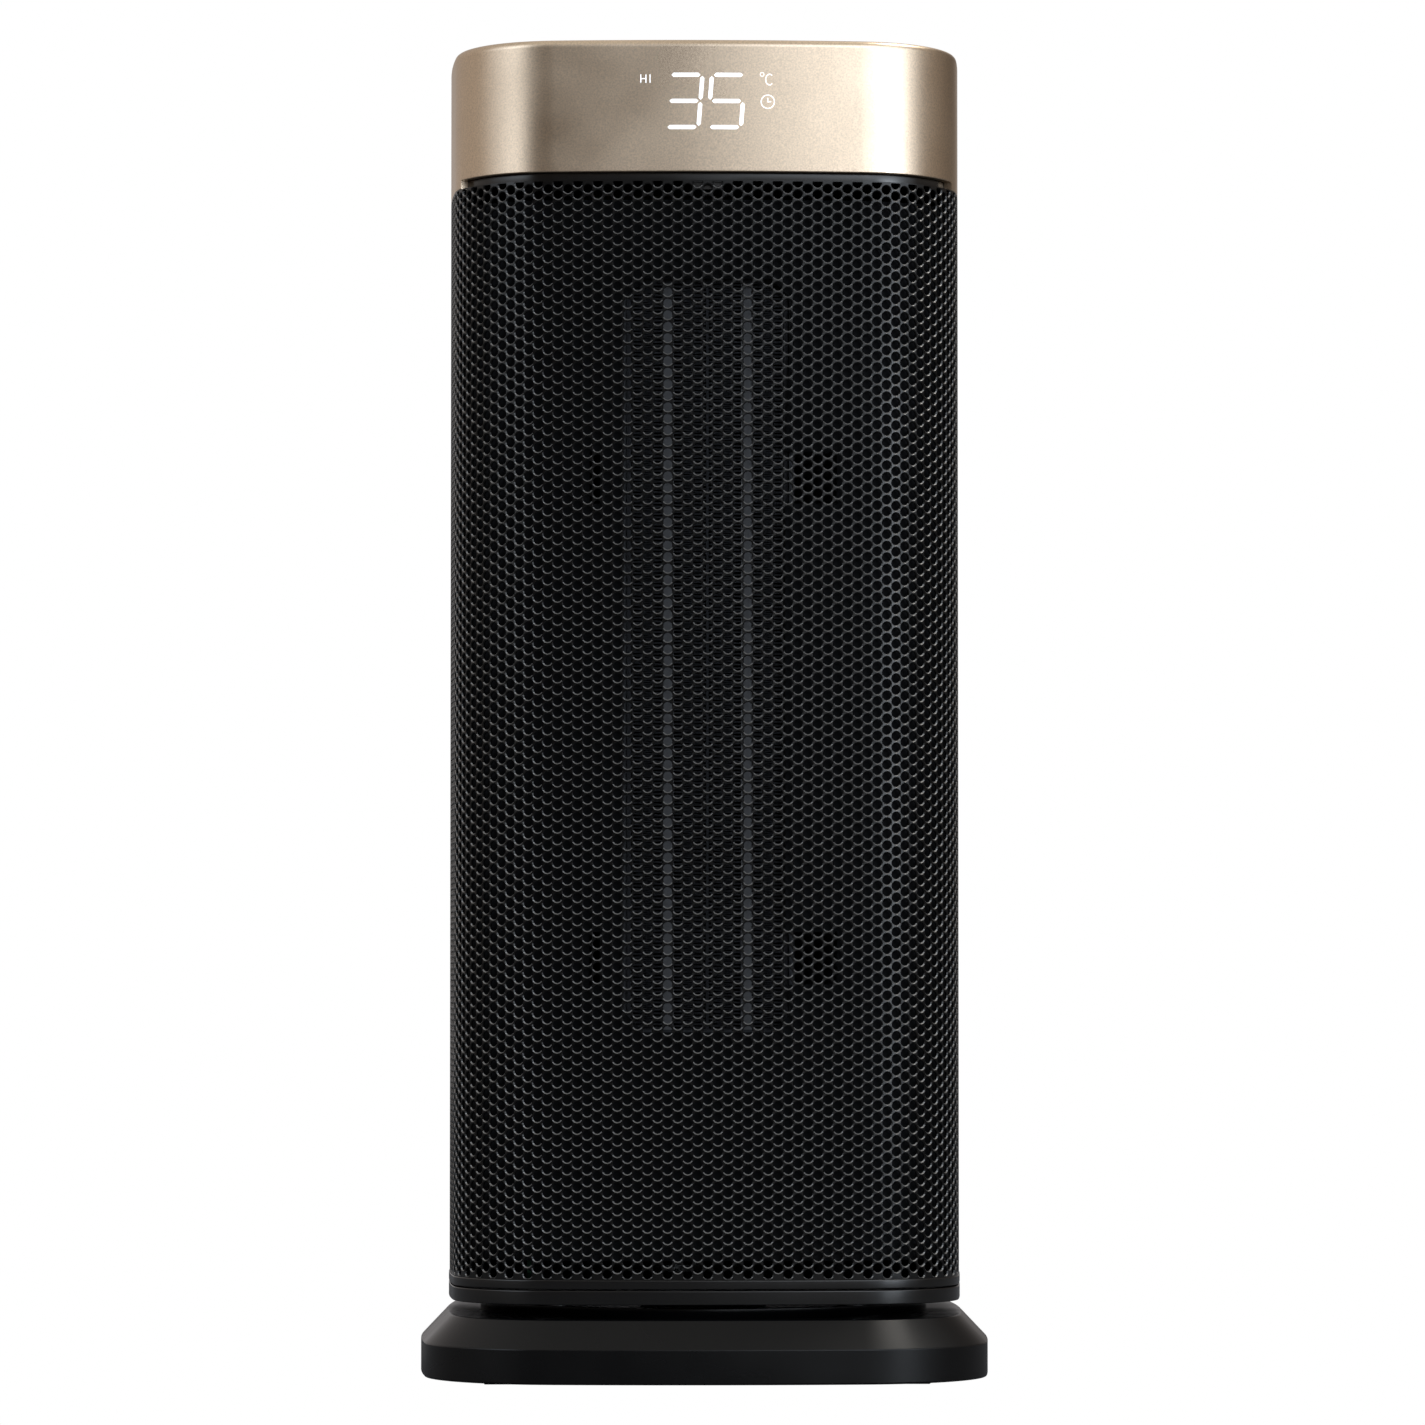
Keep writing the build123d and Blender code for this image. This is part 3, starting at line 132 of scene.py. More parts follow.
def outline(distance, grow=0.0):
    """Points at distances round the plan from the front's middle, grown outwards."""
    distance = np.mod(np.asarray(distance, float), plan_length)
    which = np.clip(np.searchsorted(arc_ends, distance), 0, len(arcs) - 1)
    cx, cy, radius, first = arcs[which, :4].T
    angle = first + (distance - arc_starts[which]) / radius
    reach = radius + grow
    return np.stack([cx + reach * np.cos(angle), cy + reach * np.sin(angle)], -1)


def stations(per_corner=CORNER_STEPS, extra=()):
    """Distances round the plan, closer together in the corners."""
    marks = []
    for first, last, radius in zip(arc_starts, arc_ends, arcs[:, 2]):
        count = per_corner if radius < 2 * corner_radius else SIDE_STEPS
        marks += list(np.linspace(first, last, count, endpoint=False))
    return np.array(sorted(marks + [mark % plan_length for mark in extra]))


def flank_distance(y):
    """Distance round the plan from the front's middle to a depth on the right-hand side."""
    radius = bow_radius(half_depth)
    return side_arc + radius * math.asin(y / radius)


# ------------------------------------------------------------------ mesh helpers
SHARP = 40.0  # degrees between faces from which an edge is drawn sharp
ARC_STEPS = 20


def mesh_from(points, faces):
    """A mesh from points and faces, with its normals made to face outwards."""
    mesh = bpy.data.meshes.new("mesh")
    mesh.from_pydata([tuple(p) for p in points], [], faces)
    mesh.validate()
    edit = bmesh.new()
    edit.from_mesh(mesh)
    bmesh.ops.recalc_face_normals(edit, faces=edit.faces)
    edit.to_mesh(mesh)
    edit.free()
    return mesh


def mesh_of(edit):
    """The mesh of a bmesh, which is freed."""
    mesh = bpy.data.meshes.new("mesh")
    edit.to_mesh(mesh)
    edit.free()
    return mesh


def piece(name, mesh, body, slot, replaces=(), look=None, sharp=SHARP, weighted=True):
    """Make an object that rides on a body, in the finish of its slot or in a look of its own."""
    mesh.name = name
    # Clearing an empty list would still reset the faces' material numbers
    if mesh.materials:
        mesh.materials.clear()
    mesh.materials.append(finishes[look or slot])
    mesh.shade_smooth()
    mesh.set_sharp_from_angle(angle=math.radians(sharp))
    item = bpy.data.objects.new(name, mesh)
    scene.collection.objects.link(item)
    if weighted:
        item.modifiers.new("flat_faces", "WEIGHTED_NORMAL").keep_sharp = True
    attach(item, body)
    if replaces:
        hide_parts(*replaces)
    return item


def rounded(profile, steps):
    """A closed profile of (across, up, radius) with each corner turned into an arc."""
    points = []
    for n, (x, z, radius) in enumerate(profile):
        here = Vector((x, z))
        if radius <= 0:
            points.append(here)
            continue
        back = Vector(profile[n - 1][:2]) - here
        ahead = Vector(profile[(n + 1) % len(profile)][:2]) - here
        back.normalize()
        ahead.normalize()
        half = back.angle(ahead) / 2
        centre = here + (back + ahead).normalized() * radius / math.sin(half)
        start = here + back * radius / math.tan(half) - centre
        end = here + ahead * radius / math.tan(half) - centre
        sweep = start.angle(end)
        for step in range(steps + 1):
            share = step / steps
            pair = start * math.sin((1 - share) * sweep) + end * math.sin(share * sweep)
            points.append(centre + pair / math.sin(sweep))
    return points


def loft(rings):
    """A closed band through rings of equally many points; the last joins the first."""
    count = len(rings[0])
    faces = []
    for n in range(len(rings)):
        here, there = n * count, (n + 1) % len(rings) * count
        for k in range(count):
            ahead = (k + 1) % count
            faces.append((here + k, here + ahead, there + ahead, there + k))
    return mesh_from(np.concatenate(rings), faces)


def plan_ring(marks, grow, z):
    """A ring on the plan at a growth and a height, or at one height for each mark."""
    xy = outline(marks, grow)
    return np.column_stack([xy, np.broadcast_to(z, len(xy))])


def profile_rings(marks, profile, steps=3):
    """Rings of the plan along a rounded profile of (growth, height, radius)."""
    return [plan_ring(marks, u, z) for u, z in rounded(profile, steps)]


def round_ring(marks, radius, z):
    """A round ring whose points lie at the same bearings as the plan's."""
    xy = outline(marks)
    xy = xy / np.linalg.norm(xy, axis=1, keepdims=True) * radius
    return np.column_stack([xy, np.full(len(xy), z)])


def hexagon_ring(marks, flat, z):
    """A hexagonal ring, by half its width across the flats."""
    xy = outline(marks)
    bearing = np.arctan2(xy[:, 1], xy[:, 0])
    sector = math.pi / 3
    reach = flat / np.cos(np.mod(bearing, sector) - sector / 2)
    return np.column_stack([reach * np.cos(bearing), reach * np.sin(bearing), np.full(len(xy), z)])


def box_mesh(low, high):
    """A plain box between two corners."""
    edit = bmesh.new()
    bmesh.ops.create_cube(edit, size=1.0)
    low, high = Vector(low), Vector(high)
    for vert in edit.verts:
        vert.co = Vector(a + (b - a) * (c + 0.5) for a, b, c in zip(low, high, vert.co))
    return mesh_of(edit)


def prisms(shapes, place, low, high):
    """Flat outlines raised into thin prisms; place(u, v, lift) sets them on a surface."""
    points, faces = [], []
    for shape in shapes:
        start, count = len(points), len(shape)
        points += [place(u, v, low) for u, v in shape] + [place(u, v, high) for u, v in shape]
        faces.append(tuple(range(start + count, start + 2 * count)))
        faces.append(tuple(range(start + count - 1, start - 1, -1)))
        for k in range(count):
            ahead = (k + 1) % count
            faces.append((start + k, start + ahead, start + count + ahead, start + count + k))
    return mesh_from(points, faces)


def bar_shape(ax, ay, bx, by, width):
    """Outline of a straight stroke between two points."""
    along = Vector((bx - ax, by - ay)).normalized() * width / 2
    across = Vector((-along.y, along.x))
    return [
        (ax - across.x, ay - across.y), (bx - across.x, by - across.y),
        (bx + across.x, by + across.y), (ax + across.x, ay + across.y),
    ]


def arc_shape(cx, cy, radius, first, last, width, stretch=1.0):
    """Outline of a stroke along an arc, angles in degrees, stretched upright."""
    shape = []
    for reach, order in ((radius + width / 2, 1), (radius - width / 2, -1)):
        angles = [math.radians(first + (last - first) * n / ARC_STEPS) for n in range(ARC_STEPS + 1)]
        lift = reach + (stretch - 1) * radius
        shape += [(cx + reach * math.cos(a), cy + lift * math.sin(a)) for a in angles[::order]]
    return shape


def circle_shapes(cx, cy, radius, width):
    """A ring as two half arcs."""
    return [arc_shape(cx, cy, radius, start, start + 180, width) for start in (0, 180)]


# ------------------------------------------------------------------ finishes
NOISE_LOW, NOISE_HIGH = 0.3, 0.7  # most of a noise's values lie between these
BROAD_SCALE = 25.0  # changes of gloss a metre
GLOW_SCALE = 400.0
THREAD_SCALE = 700.0
BUMP_DEPTH = 0.02 * MM


def new_material(name):
    """A material with its node tree and its shader."""
    material = bpy.data.materials.new(name)
    material.use_nodes = True
    return material, material.node_tree, material.node_tree.nodes["Principled BSDF"]


def noise(tree, scale, detail=2.0, stretch=(1, 1, 1)):
    """A noise texture in the object's own metres; scale is in features per metre."""
    place = tree.nodes.new("ShaderNodeTexCoord")
    shift = tree.nodes.new("ShaderNodeMapping")
    shift.inputs["Scale"].default_value = stretch
    grain = tree.nodes.new("ShaderNodeTexNoise")
    grain.inputs["Scale"].default_value = scale
    grain.inputs["Detail"].default_value = detail
    tree.links.new(place.outputs["Object"], shift.inputs["Vector"])
    tree.links.new(shift.outputs["Vector"], grain.inputs["Vector"])
    return grain.outputs["Fac"]


def map_range(tree, value, from_low, from_high, low=0.0, high=1.0):
    """Map a range of a value to another range, and hold it at the ends."""
    span = tree.nodes.new("ShaderNodeMapRange")
    span.inputs["From Min"].default_value = from_low
    span.inputs["From Max"].default_value = from_high
    span.inputs["To Min"].default_value = low
    span.inputs["To Max"].default_value = high
    tree.links.new(value, span.inputs["Value"])
    return span.outputs["Result"]


def colour_ramp(tree, value, stops):
    """Colours at places between 0 and 1, blended between them."""
    ramp = tree.nodes.new("ShaderNodeValToRGB")
    elements = ramp.color_ramp.elements
    while len(elements) < len(stops):
        elements.new(0.5)
    for element, (place, colour) in zip(elements, stops):
        element.position = place
        element.color = (*colour, 1)
    tree.links.new(value, ramp.inputs["Fac"])
    return ramp.outputs["Color"]


def shade(tree, value, dark, light):
    """Map a noise's middle range to two colours."""
    return colour_ramp(tree, value, [(NOISE_LOW, dark), (NOISE_HIGH, light)])


def finish(name, colour, roughness, metallic=0.0, vary=0.08, grain=900.0, bump=0.0,
           rough_vary=0.05, specular=0.5, tint=(1, 1, 1), stretch=(1, 1, 1)):
    """A moulded, painted or metal finish with fine grain in its colour, gloss and relief."""
    material, tree, shader = new_material(name)
    shader.inputs["Metallic"].default_value = metallic
    shader.inputs["Specular IOR Level"].default_value = specular
    shader.inputs["Specular Tint"].default_value = (*tint, 1)
    fine = noise(tree, grain, detail=3.0, stretch=stretch)
    broad = noise(tree, BROAD_SCALE)
    dark = tuple(c * (1 - vary) for c in colour)
    light = tuple(min(1.0, c * (1 + vary)) for c in colour)
    gloss = map_range(tree, broad, NOISE_LOW, NOISE_HIGH, roughness - rough_vary, roughness + rough_vary)
    tree.links.new(shade(tree, fine, dark, light), shader.inputs["Base Color"])
    tree.links.new(gloss, shader.inputs["Roughness"])
    if bump:
        relief = tree.nodes.new("ShaderNodeBump")
        relief.inputs["Strength"].default_value = bump
        relief.inputs["Distance"].default_value = BUMP_DEPTH
        tree.links.new(fine, relief.inputs["Height"])
        tree.links.new(relief.outputs["Normal"], shader.inputs["Normal"])
    return material


def lit(name, colour):
    """The lit figures of the display."""
    material, tree, shader = new_material(name)
    glow = noise(tree, GLOW_SCALE)
    figures = shade(tree, glow, tuple(c * 0.97 for c in colour), colour)
    tree.links.new(figures, shader.inputs["Emission Color"])
    shader.inputs["Emission Strength"].default_value = 1.0
    shader.inputs["Base Color"].default_value = (0.9, 0.9, 0.9, 1)
    shader.inputs["Roughness"].default_value = 0.5
    return material


def woven(name, colour):
    """A fine square mesh of threads, for the dust filter."""
    material, tree, shader = new_material(name)
    place = tree.nodes.new("ShaderNodeTexCoord")
    weave = tree.nodes.new("ShaderNodeTexVoronoi")
    weave.distance = "CHEBYCHEV"
    weave.inputs["Scale"].default_value = THREAD_SCALE
    weave.inputs["Randomness"].default_value = 0.0
    tree.links.new(place.outputs["Object"], weave.inputs["Vector"])
    threads = shade(tree, weave.outputs["Distance"], colour, tuple(c * 0.3 for c in colour))
    tree.links.new(threads, shader.inputs["Base Color"])
    shader.inputs["Roughness"].default_value = 0.7
    return material


NEUTRAL = (1.0, 0.95, 0.86)  # takes the cool tint of the bright panels out of the black parts' shine
FINISHES = {  # one for each slot of the record, then looks of their own
    "grille_paint": dict(colour=(0.002, 0.002, 0.0022), roughness=0.22, specular=0.48, rough_vary=0.03,
                         tint=NEUTRAL, grain=2600, bump=0.15),
    "black_body": dict(colour=(0.003, 0.003, 0.0032), roughness=0.28, specular=0.3, tint=NEUTRAL,
                       grain=1400, bump=0.3),
    "black_gloss": dict(colour=(0.003, 0.003, 0.0033), roughness=0.2, specular=0.75, rough_vary=0.03,
                        tint=NEUTRAL, grain=1500),
    "gold_cap": dict(colour=(0.86, 0.665, 0.462), roughness=0.3, metallic=1.0, vary=0.13, grain=1500,
                     bump=0.4),
    "inner_black": dict(colour=(0.002, 0.002, 0.002), roughness=0.7, specular=0.15, grain=1500, bump=0.2),
    "rubber_grey": dict(colour=(0.03, 0.03, 0.03), roughness=0.75, grain=1200, bump=0.3),
    "steel": dict(colour=(0.60, 0.60, 0.62), roughness=0.35, metallic=1.0, grain=1800, stretch=(1, 1, 8)),
    "iron": dict(colour=(0.16, 0.16, 0.17), roughness=0.55, metallic=1.0, grain=700, bump=0.4),
    "white_nylon": dict(colour=(0.78, 0.78, 0.74), roughness=0.5, grain=1100, vary=0.04),
    "fin_aluminium": dict(colour=(0.04, 0.04, 0.041), roughness=0.45, metallic=1.0, grain=900, vary=0.15),
    "ptc_ceramic": dict(colour=(0.10, 0.098, 0.095), roughness=0.6, grain=1300, bump=0.3),
    "shroud_resin": dict(colour=(0.02, 0.02, 0.02), roughness=0.6, grain=1300, bump=0.2),
    "terminal_brass": dict(colour=(0.72, 0.56, 0.32), roughness=0.35, metallic=1.0, grain=1500),
    "board_green": dict(colour=(0.02, 0.11, 0.045), roughness=0.35, grain=500, vary=0.25),
    "motor_can": dict(colour=(0.33, 0.34, 0.36), roughness=0.35, metallic=1.0, grain=1600, stretch=(1, 1, 6)),
    "button_black": dict(colour=(0.012, 0.012, 0.013), roughness=0.42, grain=2200, bump=0.15),
    "display_smoke": dict(colour=(0.02, 0.02, 0.02), roughness=0.4, grain=1200),
    # painted highlight: a lighter metallic finish for the glint on the lower side of the holes' bevels
    "painted_rim_glint": dict(colour=(0.26, 0.247, 0.225), roughness=0.4, metallic=0.8, grain=1500),
    # painted shade: near-black steel for the motor bracket in the shade behind the grille
    "shade_painted_steel": dict(colour=(0.012, 0.012, 0.013), roughness=0.6, specular=0.2, grain=1800),
    "icon_white": dict(colour=(0.55, 0.55, 0.55), roughness=0.5, grain=1500, vary=0.05),
    "floor_grey": dict(colour=(0.16, 0.16, 0.16), roughness=0.9, specular=0.0, grain=3.0, vary=0.1),
}
# The bracket shows through the lowest row of the grille's holes, deep in shade there; painted shade makes its
# steel near black
CAD_LOOKS = {"motor_bracket": "shade_painted_steel"}

finishes = {name: finish(name, **values) for name, values in FINISHES.items()}
finishes["filter_mesh"] = woven("filter_mesh", (0.07, 0.07, 0.075))
finishes["display_lit"] = lit("display_lit", (1.0, 1.0, 1.0))
for node, slot in slots.items():
    node_mesh = frame["nodes"][node].data
    node_mesh.materials.clear()
    node_mesh.materials.append(finishes[CAD_LOOKS.get(node, slot)])


# ------------------------------------------------------------------ perforated front grille
hole_pitch = 4.5 * MM
hole_radius = 1.8 * MM
hole_bevel = 0.4 * MM
hole_points = 12
sheet = 1.0 * MM
edge_web = 0.35 * MM
grille_parts = 7
# painted highlight: the part of a hole's bevel below this height carries the painted glint
glint_height = -0.45  # the lip is the part of a hole's edge below this share of its radius
merge_step = 1e-6
sheet_height = grille_high.z - grille_low.z
sheet_edge = flank_distance(seam_y)  # from the front's middle, round the plan
cell_reach = hole_pitch / math.sqrt(3)
last_column = round((sheet_edge - cell_reach) / (1.5 * cell_reach))
column_spacing = (sheet_edge - cell_reach) / last_column
rows = int(sheet_height / hole_pitch)
hole_angles = np.arange(hole_points) * 2 * math.pi / hole_points
circle = np.column_stack([np.cos(hole_angles), np.sin(hole_angles)])
# Every other point of a cell's outline is a corner of its hexagon
cell = circle * np.where(np.arange(hole_points) % 2 == 0, cell_reach, hole_pitch / 2)[:, None]


def hole_centres(columns):
    """Centres of the holes in some columns, by distance round the plan and height."""
    return np.array([
        (column * column_spacing, hole_pitch * (row + (1.0 if column % 2 else 0.5)))
        for column in columns for row in range(rows)
    ])


def cell_outlines(centres, columns):
    """Outlines of the hexagons round the holes, stretched and cut to the sheet's edges."""
    cells = centres[:, None, :] + cell[None]
    reach = abs(columns).max() * column_spacing
    if reach + column_spacing > sheet_edge:
        # On the right the point straight above a centre moves too, its place being a rounding error
        # over 0, which leaves unseen open edges in the last strip
        for side, outward in ((-1, cell[:, 0] < -merge_step), (1, cell[:, 0] > 0)):
            last = np.abs(centres[:, 0] - side * reach) < column_spacing / 2
            cells[np.ix_(last, outward, [0])] = side * sheet_edge
    cells[..., 1] = np.clip(cells[..., 1], 0, sheet_height)
    return cells.reshape(-1, 2)


def filler_outlines(columns):
    """Outlines that close the sheet below the odd columns and above the even ones."""
    half, quarter, top = hole_pitch / 2, hole_pitch / 4, rows * hole_pitch
    below = [
        (-cell_reach, 0), (cell_reach, 0), (0.75 * cell_reach, quarter), (cell_reach / 2, half), (0, half),
        (-cell_reach / 2, half), (-0.75 * cell_reach, quarter),
    ]
    above = [
        (-cell_reach / 2, top), (0, top), (cell_reach / 2, top), (0.75 * cell_reach, sheet_height),
        (-0.75 * cell_reach, sheet_height),
    ]
    return [
        np.array([(column * column_spacing + u, v) for u, v in (below if column % 2 else above)])
        for column in columns
    ]


def on_sheet(spots, depth):
    """Points of the sheet by distance round the plan and height, at a depth under its face."""
    return np.column_stack([outline(spots[:, 0], -depth), grille_low.z + spots[:, 1]])


def hole_ring(centres, radius, depth):
    """The holes' edges at one depth."""
    spots = (centres[:, None, :] + radius * circle[None]).reshape(-1, 2)
    spots[:, 1] = np.clip(spots[:, 1], edge_web, sheet_height - edge_web)
    return on_sheet(spots, depth)


def grille_strip(columns):
    """One upright strip of the sheet with its round holes."""
    centres = hole_centres(columns)
    cells, fillers = cell_outlines(centres, columns), filler_outlines(columns)
    spots = np.concatenate([cells, *fillers])
    spots[:, 0] = np.clip(spots[:, 0], -sheet_edge, sheet_edge)
    # Spots that lie together become one point on the face and one on the back
    keys = np.round(spots / merge_step).astype(np.int64)
    _, first, index = np.unique(keys, axis=0, return_index=True, return_inverse=True)
    index = index.reshape(-1)
    back, rim = len(first), len(cells)
    points = np.concatenate([
        on_sheet(spots[first], 0.0),
        on_sheet(spots[first], sheet),
        hole_ring(centres, hole_radius + hole_bevel, 0.0),
        hole_ring(centres, hole_radius, hole_bevel),
        hole_ring(centres, hole_radius, sheet),
    ])

    # Bands of quads run from a cell's face into its hole and out to its back
    face = index[:rim].reshape(-1, hole_points)
    holes = [2 * back + n * rim + np.arange(rim).reshape(-1, hole_points) for n in range(3)]
    loops = [face, *holes, face + back]
    quads = np.concatenate([
        np.stack([a, np.roll(a, -1, 1), np.roll(b, -1, 1), b], -1).reshape(-1, 4)
        for a, b in zip(loops, loops[1:])
    ])
    # Cells cut flat by the sheet's edge have sides of no length
    keep = (quads[:, 0] != quads[:, 1]) & (quads[:, 2] != quads[:, 3])
    quads = quads[keep]
    shapes = []
    start = rim
    for filler in fillers:
        ids = index[start : start + len(filler)]
        start += len(filler)
        loop = [int(i) for n, i in enumerate(ids) if i != ids[n - 1]]
        shapes += [tuple(loop), tuple(i + back for i in reversed(loop))]

    # Walls stand along the strip's edges, where an edge of the face belongs to one shape only
    edges = quads[: np.count_nonzero(keep[:rim]), :2].tolist()
    for loop in shapes[::2]:
        edges += [[loop[n - 1], loop[n]] for n in range(len(loop))]
    used = {(a, b) for a, b in edges}
    walls = [(b, a, a + back, b + back) for a, b in used if (b, a) not in used]
    mesh = bpy.data.meshes.new("strip")
    mesh.from_pydata(points.tolist(), [], quads.tolist() + shapes + walls)

    # Painted highlight: the lower side of each hole's bevel gets a lighter, metallic finish that stands for
    # the glint of the light from above
    bevel = np.tile(np.sin(hole_angles + math.pi / hole_points) < glint_height, len(centres))
    glint_faces = np.zeros(len(mesh.polygons), dtype=np.int32)
    glint_faces[: len(quads)] = np.concatenate([np.zeros(rim), bevel, np.zeros(2 * rim)])[keep]
    mesh.polygons.foreach_set("material_index", glint_faces)
    mesh.validate()
    return mesh


def perforated_grille():
    """The sheet with its hexagonal lattice of holes, in upright strips of columns."""
    columns = np.arange(-last_column, last_column + 1)
    for part, group in enumerate(np.array_split(columns, grille_parts)):
        strip = grille_strip(group)
        piece(f"grille_strip_{part + 1}", strip, "tower", "grille_paint",
              replaces=["front_grille"] if part == 0 else (), sharp=35.0, weighted=False)
        # second material: the painted glint on the lower side of each hole's bevel
        strip.materials.append(finishes["painted_rim_glint"])


perforated_grille()

# ------------------------------------------------------------------ cap
cap_edge = 3.0 * MM
cap_wall = 3.0 * MM
cap_rim = 14.0 * MM
rim_thickness = 2.5 * MM
reveal_end_y = -68.0 * MM
edge_ease = 0.45 * MM
step_half = 0.03 * MM
search_steps = 4001


def reveal_marks():
    """Distances round the plan to the two ends of the shadow gap, right then left."""
    fine = np.linspace(0, side_arc, search_steps)
    right = fine[np.argmin(abs(outline(fine)[:, 1] - reveal_end_y))]
    return right, plan_length - right


def cap_cover():
    """The metal cap: one skin with a round upper edge, cut short over the front grille."""
    right, left = reveal_marks()
    marks = stations(extra=[end + side * step_half for end in (right, left) for side in (-1, 1)])
    low = np.where((marks < right) | (marks > left), top_frame_top, grille_high.z)
    profile = rounded([
        (0.0, 0.0, edge_ease),
        (0.0, cap_top, cap_edge),
        (-cap_rim, cap_top, edge_ease),
        (-cap_rim, cap_top - rim_thickness, 0),
        (-cap_wall, cap_top - rim_thickness, 0),
        (-cap_wall, 0.0, 0),
    ], steps=8)
    # The profile's low heights count from the cap's lower edge, which steps at the gap's ends
    rings = [plan_ring(marks, u, low + z if z < cap_top / 2 else z) for u, z in profile]
    piece("cap_cover", loft(rings), "tower", "gold_cap", replaces=["cap_band"])


cap_cover()

# ------------------------------------------------------------------ display figures on the cap
segment_width = 1.6 * MM
digit_height = 20.5 * MM  # between the middles of the top and the bottom segment
digit_width = 12.9 * MM  # between the middles of the upright segments
digit_pitch = 16.6 * MM
across_length = 11.3 * MM
upright_length = 9.3 * MM
digit_slant = 0.0766
digits_x = -1.05 * MM
display_z = cap_top - 24.35 * MM
thin_stroke = 0.36 * MM
figure_lift = 0.08 * MM
figure_sink = 0.4 * MM
letter_low, letter_high = 7.1 * MM, 10.4 * MM
letter_h, letter_h_width, letter_i = -26.2 * MM, 2.0 * MM, -22.6 * MM
degree_x, degree_y, degree_radius, degree_stroke = 21.2 * MM, 10.5 * MM, 0.75 * MM, 0.24 * MM
letter_c_x, letter_c_y, letter_c_radius, letter_c_stretch = 24.1 * MM, 8.5 * MM, 1.5 * MM, 1.4
letter_c_mouth = 48  # degrees above and below
clock_x, clock_y, clock_radius = 23.4 * MM, -0.2 * MM, 2.6 * MM
minute_hand, hour_hand = 1.5 * MM, 1.3 * MM
SEGMENTS = {  # middle of a segment, in halves of the digit's size, and whether it stands upright
    "a": (0, 1, False), "g": (0, 0, False), "d": (0, -1, False),
    "b": (1, 0.5, True), "c": (1, -0.5, True), "f": (-1, 0.5, True),
}
DIGITS = {"3": "abgcd", "5": "afgcd"}


def segment_shape(digit_x, segment):
    """A bar with pointed ends, sheared with the digit."""
    across, up, upright = SEGMENTS[segment]
    cx, cy = across * digit_width / 2, up * digit_height / 2
    half, tip = (upright_length if upright else across_length) / 2, segment_width / 2
    shape = [
        (-half, 0), (-half + tip, -tip), (half - tip, -tip), (half, 0), (half - tip, tip), (-half + tip, tip),
    ]
    if upright:
        shape = [(-v, u) for u, v in shape]
    return [(digit_x + (cx + u + digit_slant * (cy + v)), cy + v) for u, v in shape]


def on_cap(u, v, lift):
    """A place on the cap's front, by its distance across it and its height."""
    x, y = outline(u, lift)
    return (x, y, display_z + v)


def display_figures():
    """Two digits, a heat setting, a degree sign and a timer sign."""
    places = (("3", digits_x - digit_pitch / 2), ("5", digits_x + digit_pitch / 2))
    shapes = [segment_shape(x, segment) for digit, x in places for segment in DIGITS[digit]]
    h_end, letter_middle = letter_h + letter_h_width, (letter_low + letter_high) / 2
    for x in (letter_h, h_end, letter_i):
        shapes.append(bar_shape(x, letter_low, x, letter_high, thin_stroke))
    shapes.append(bar_shape(letter_h, letter_middle, h_end, letter_middle, thin_stroke))
    shapes += circle_shapes(degree_x, degree_y, degree_radius, degree_stroke)
    shapes.append(arc_shape(letter_c_x, letter_c_y, letter_c_radius, letter_c_mouth, 360 - letter_c_mouth,
                            thin_stroke, letter_c_stretch))
    shapes += circle_shapes(clock_x, clock_y, clock_radius, thin_stroke)
    shapes.append(bar_shape(clock_x, clock_y - thin_stroke / 2, clock_x, clock_y + minute_hand, thin_stroke))
    shapes.append(bar_shape(clock_x, clock_y, clock_x + hour_hand, clock_y, thin_stroke))
    mesh = prisms(shapes, on_cap, -figure_sink, figure_lift)
    piece("display_figures", mesh, "tower", "display_smoke", look="display_lit", weighted=False)


display_figures()

# ------------------------------------------------------------------ foot of the tower
foot_marks = stations(per_corner=24)
band_proud = deck_high.x - half_width
spindle_radius = 15 * MM
spindle_bore = 9 * MM
pan_floor = 2.5 * MM
pan_wall = 3.0 * MM
pan_bottom = base_high.z + 1.8 * MM
pan_top = deck_low.z - 0.5 * MM
deck_top = grille_low.z
deck_radius = 30 * MM


def swing_pan():
    """The lower of the two bands, with the pan's floor and its hollow spindle."""
    rings = profile_rings(foot_marks, [
        (-pan_wall, pan_bottom + pan_floor, 0),
        (-pan_wall, pan_top, 0),
        (band_proud, pan_top, edge_ease),
        (band_proud, pan_bottom, edge_ease),
        (-pan_wall, pan_bottom, 0),
    ])
    for radius, z in ((spindle_radius, pan_bottom), (spindle_radius, spindle_end),
                      (spindle_bore, spindle_end), (spindle_bore, pan_bottom + pan_floor)):
        rings.append(round_ring(foot_marks, radius, z))
    piece("swing_pan", loft(rings), "tower", "black_gloss", replaces=["bottom_pan"])


def deck_frame():
    """The upper band, which the grille stands on."""
    rings = profile_rings(foot_marks, [
        (-pan_wall, deck_top, 0),
        (band_proud, deck_top, edge_ease),
        (band_proud, deck_low.z, edge_ease),
        (-pan_wall, deck_low.z, 0),
    ])
    rings += [round_ring(foot_marks, deck_radius, z) for z in (deck_low.z, deck_top)]
    piece("deck_frame", loft(rings), "tower", "black_gloss", replaces=["lower_frame"])


swing_pan()
deck_frame()

# ------------------------------------------------------------------ base
base_marks = stations()
base_overhang = base_high.x - half_width
foot_round = 0.8 * MM
shoulder_height = 11 * MM
shoulder_inset = 10.5 * MM
shoulder_round = 0.9 * MM
brow_round = 1.4 * MM
brow_flat = 3 * MM
shell_wall = 2.5 * MM
neck_height = 3.9 * MM
base_top = base_high.z - neck_height
neck_radius = 90 * MM
neck_wall = 6 * MM
neck_chamfer = 0.3 * MM
bush_flat = 18 * MM
boss_wall = 4 * MM
inlet_depth = 3.5 * MM


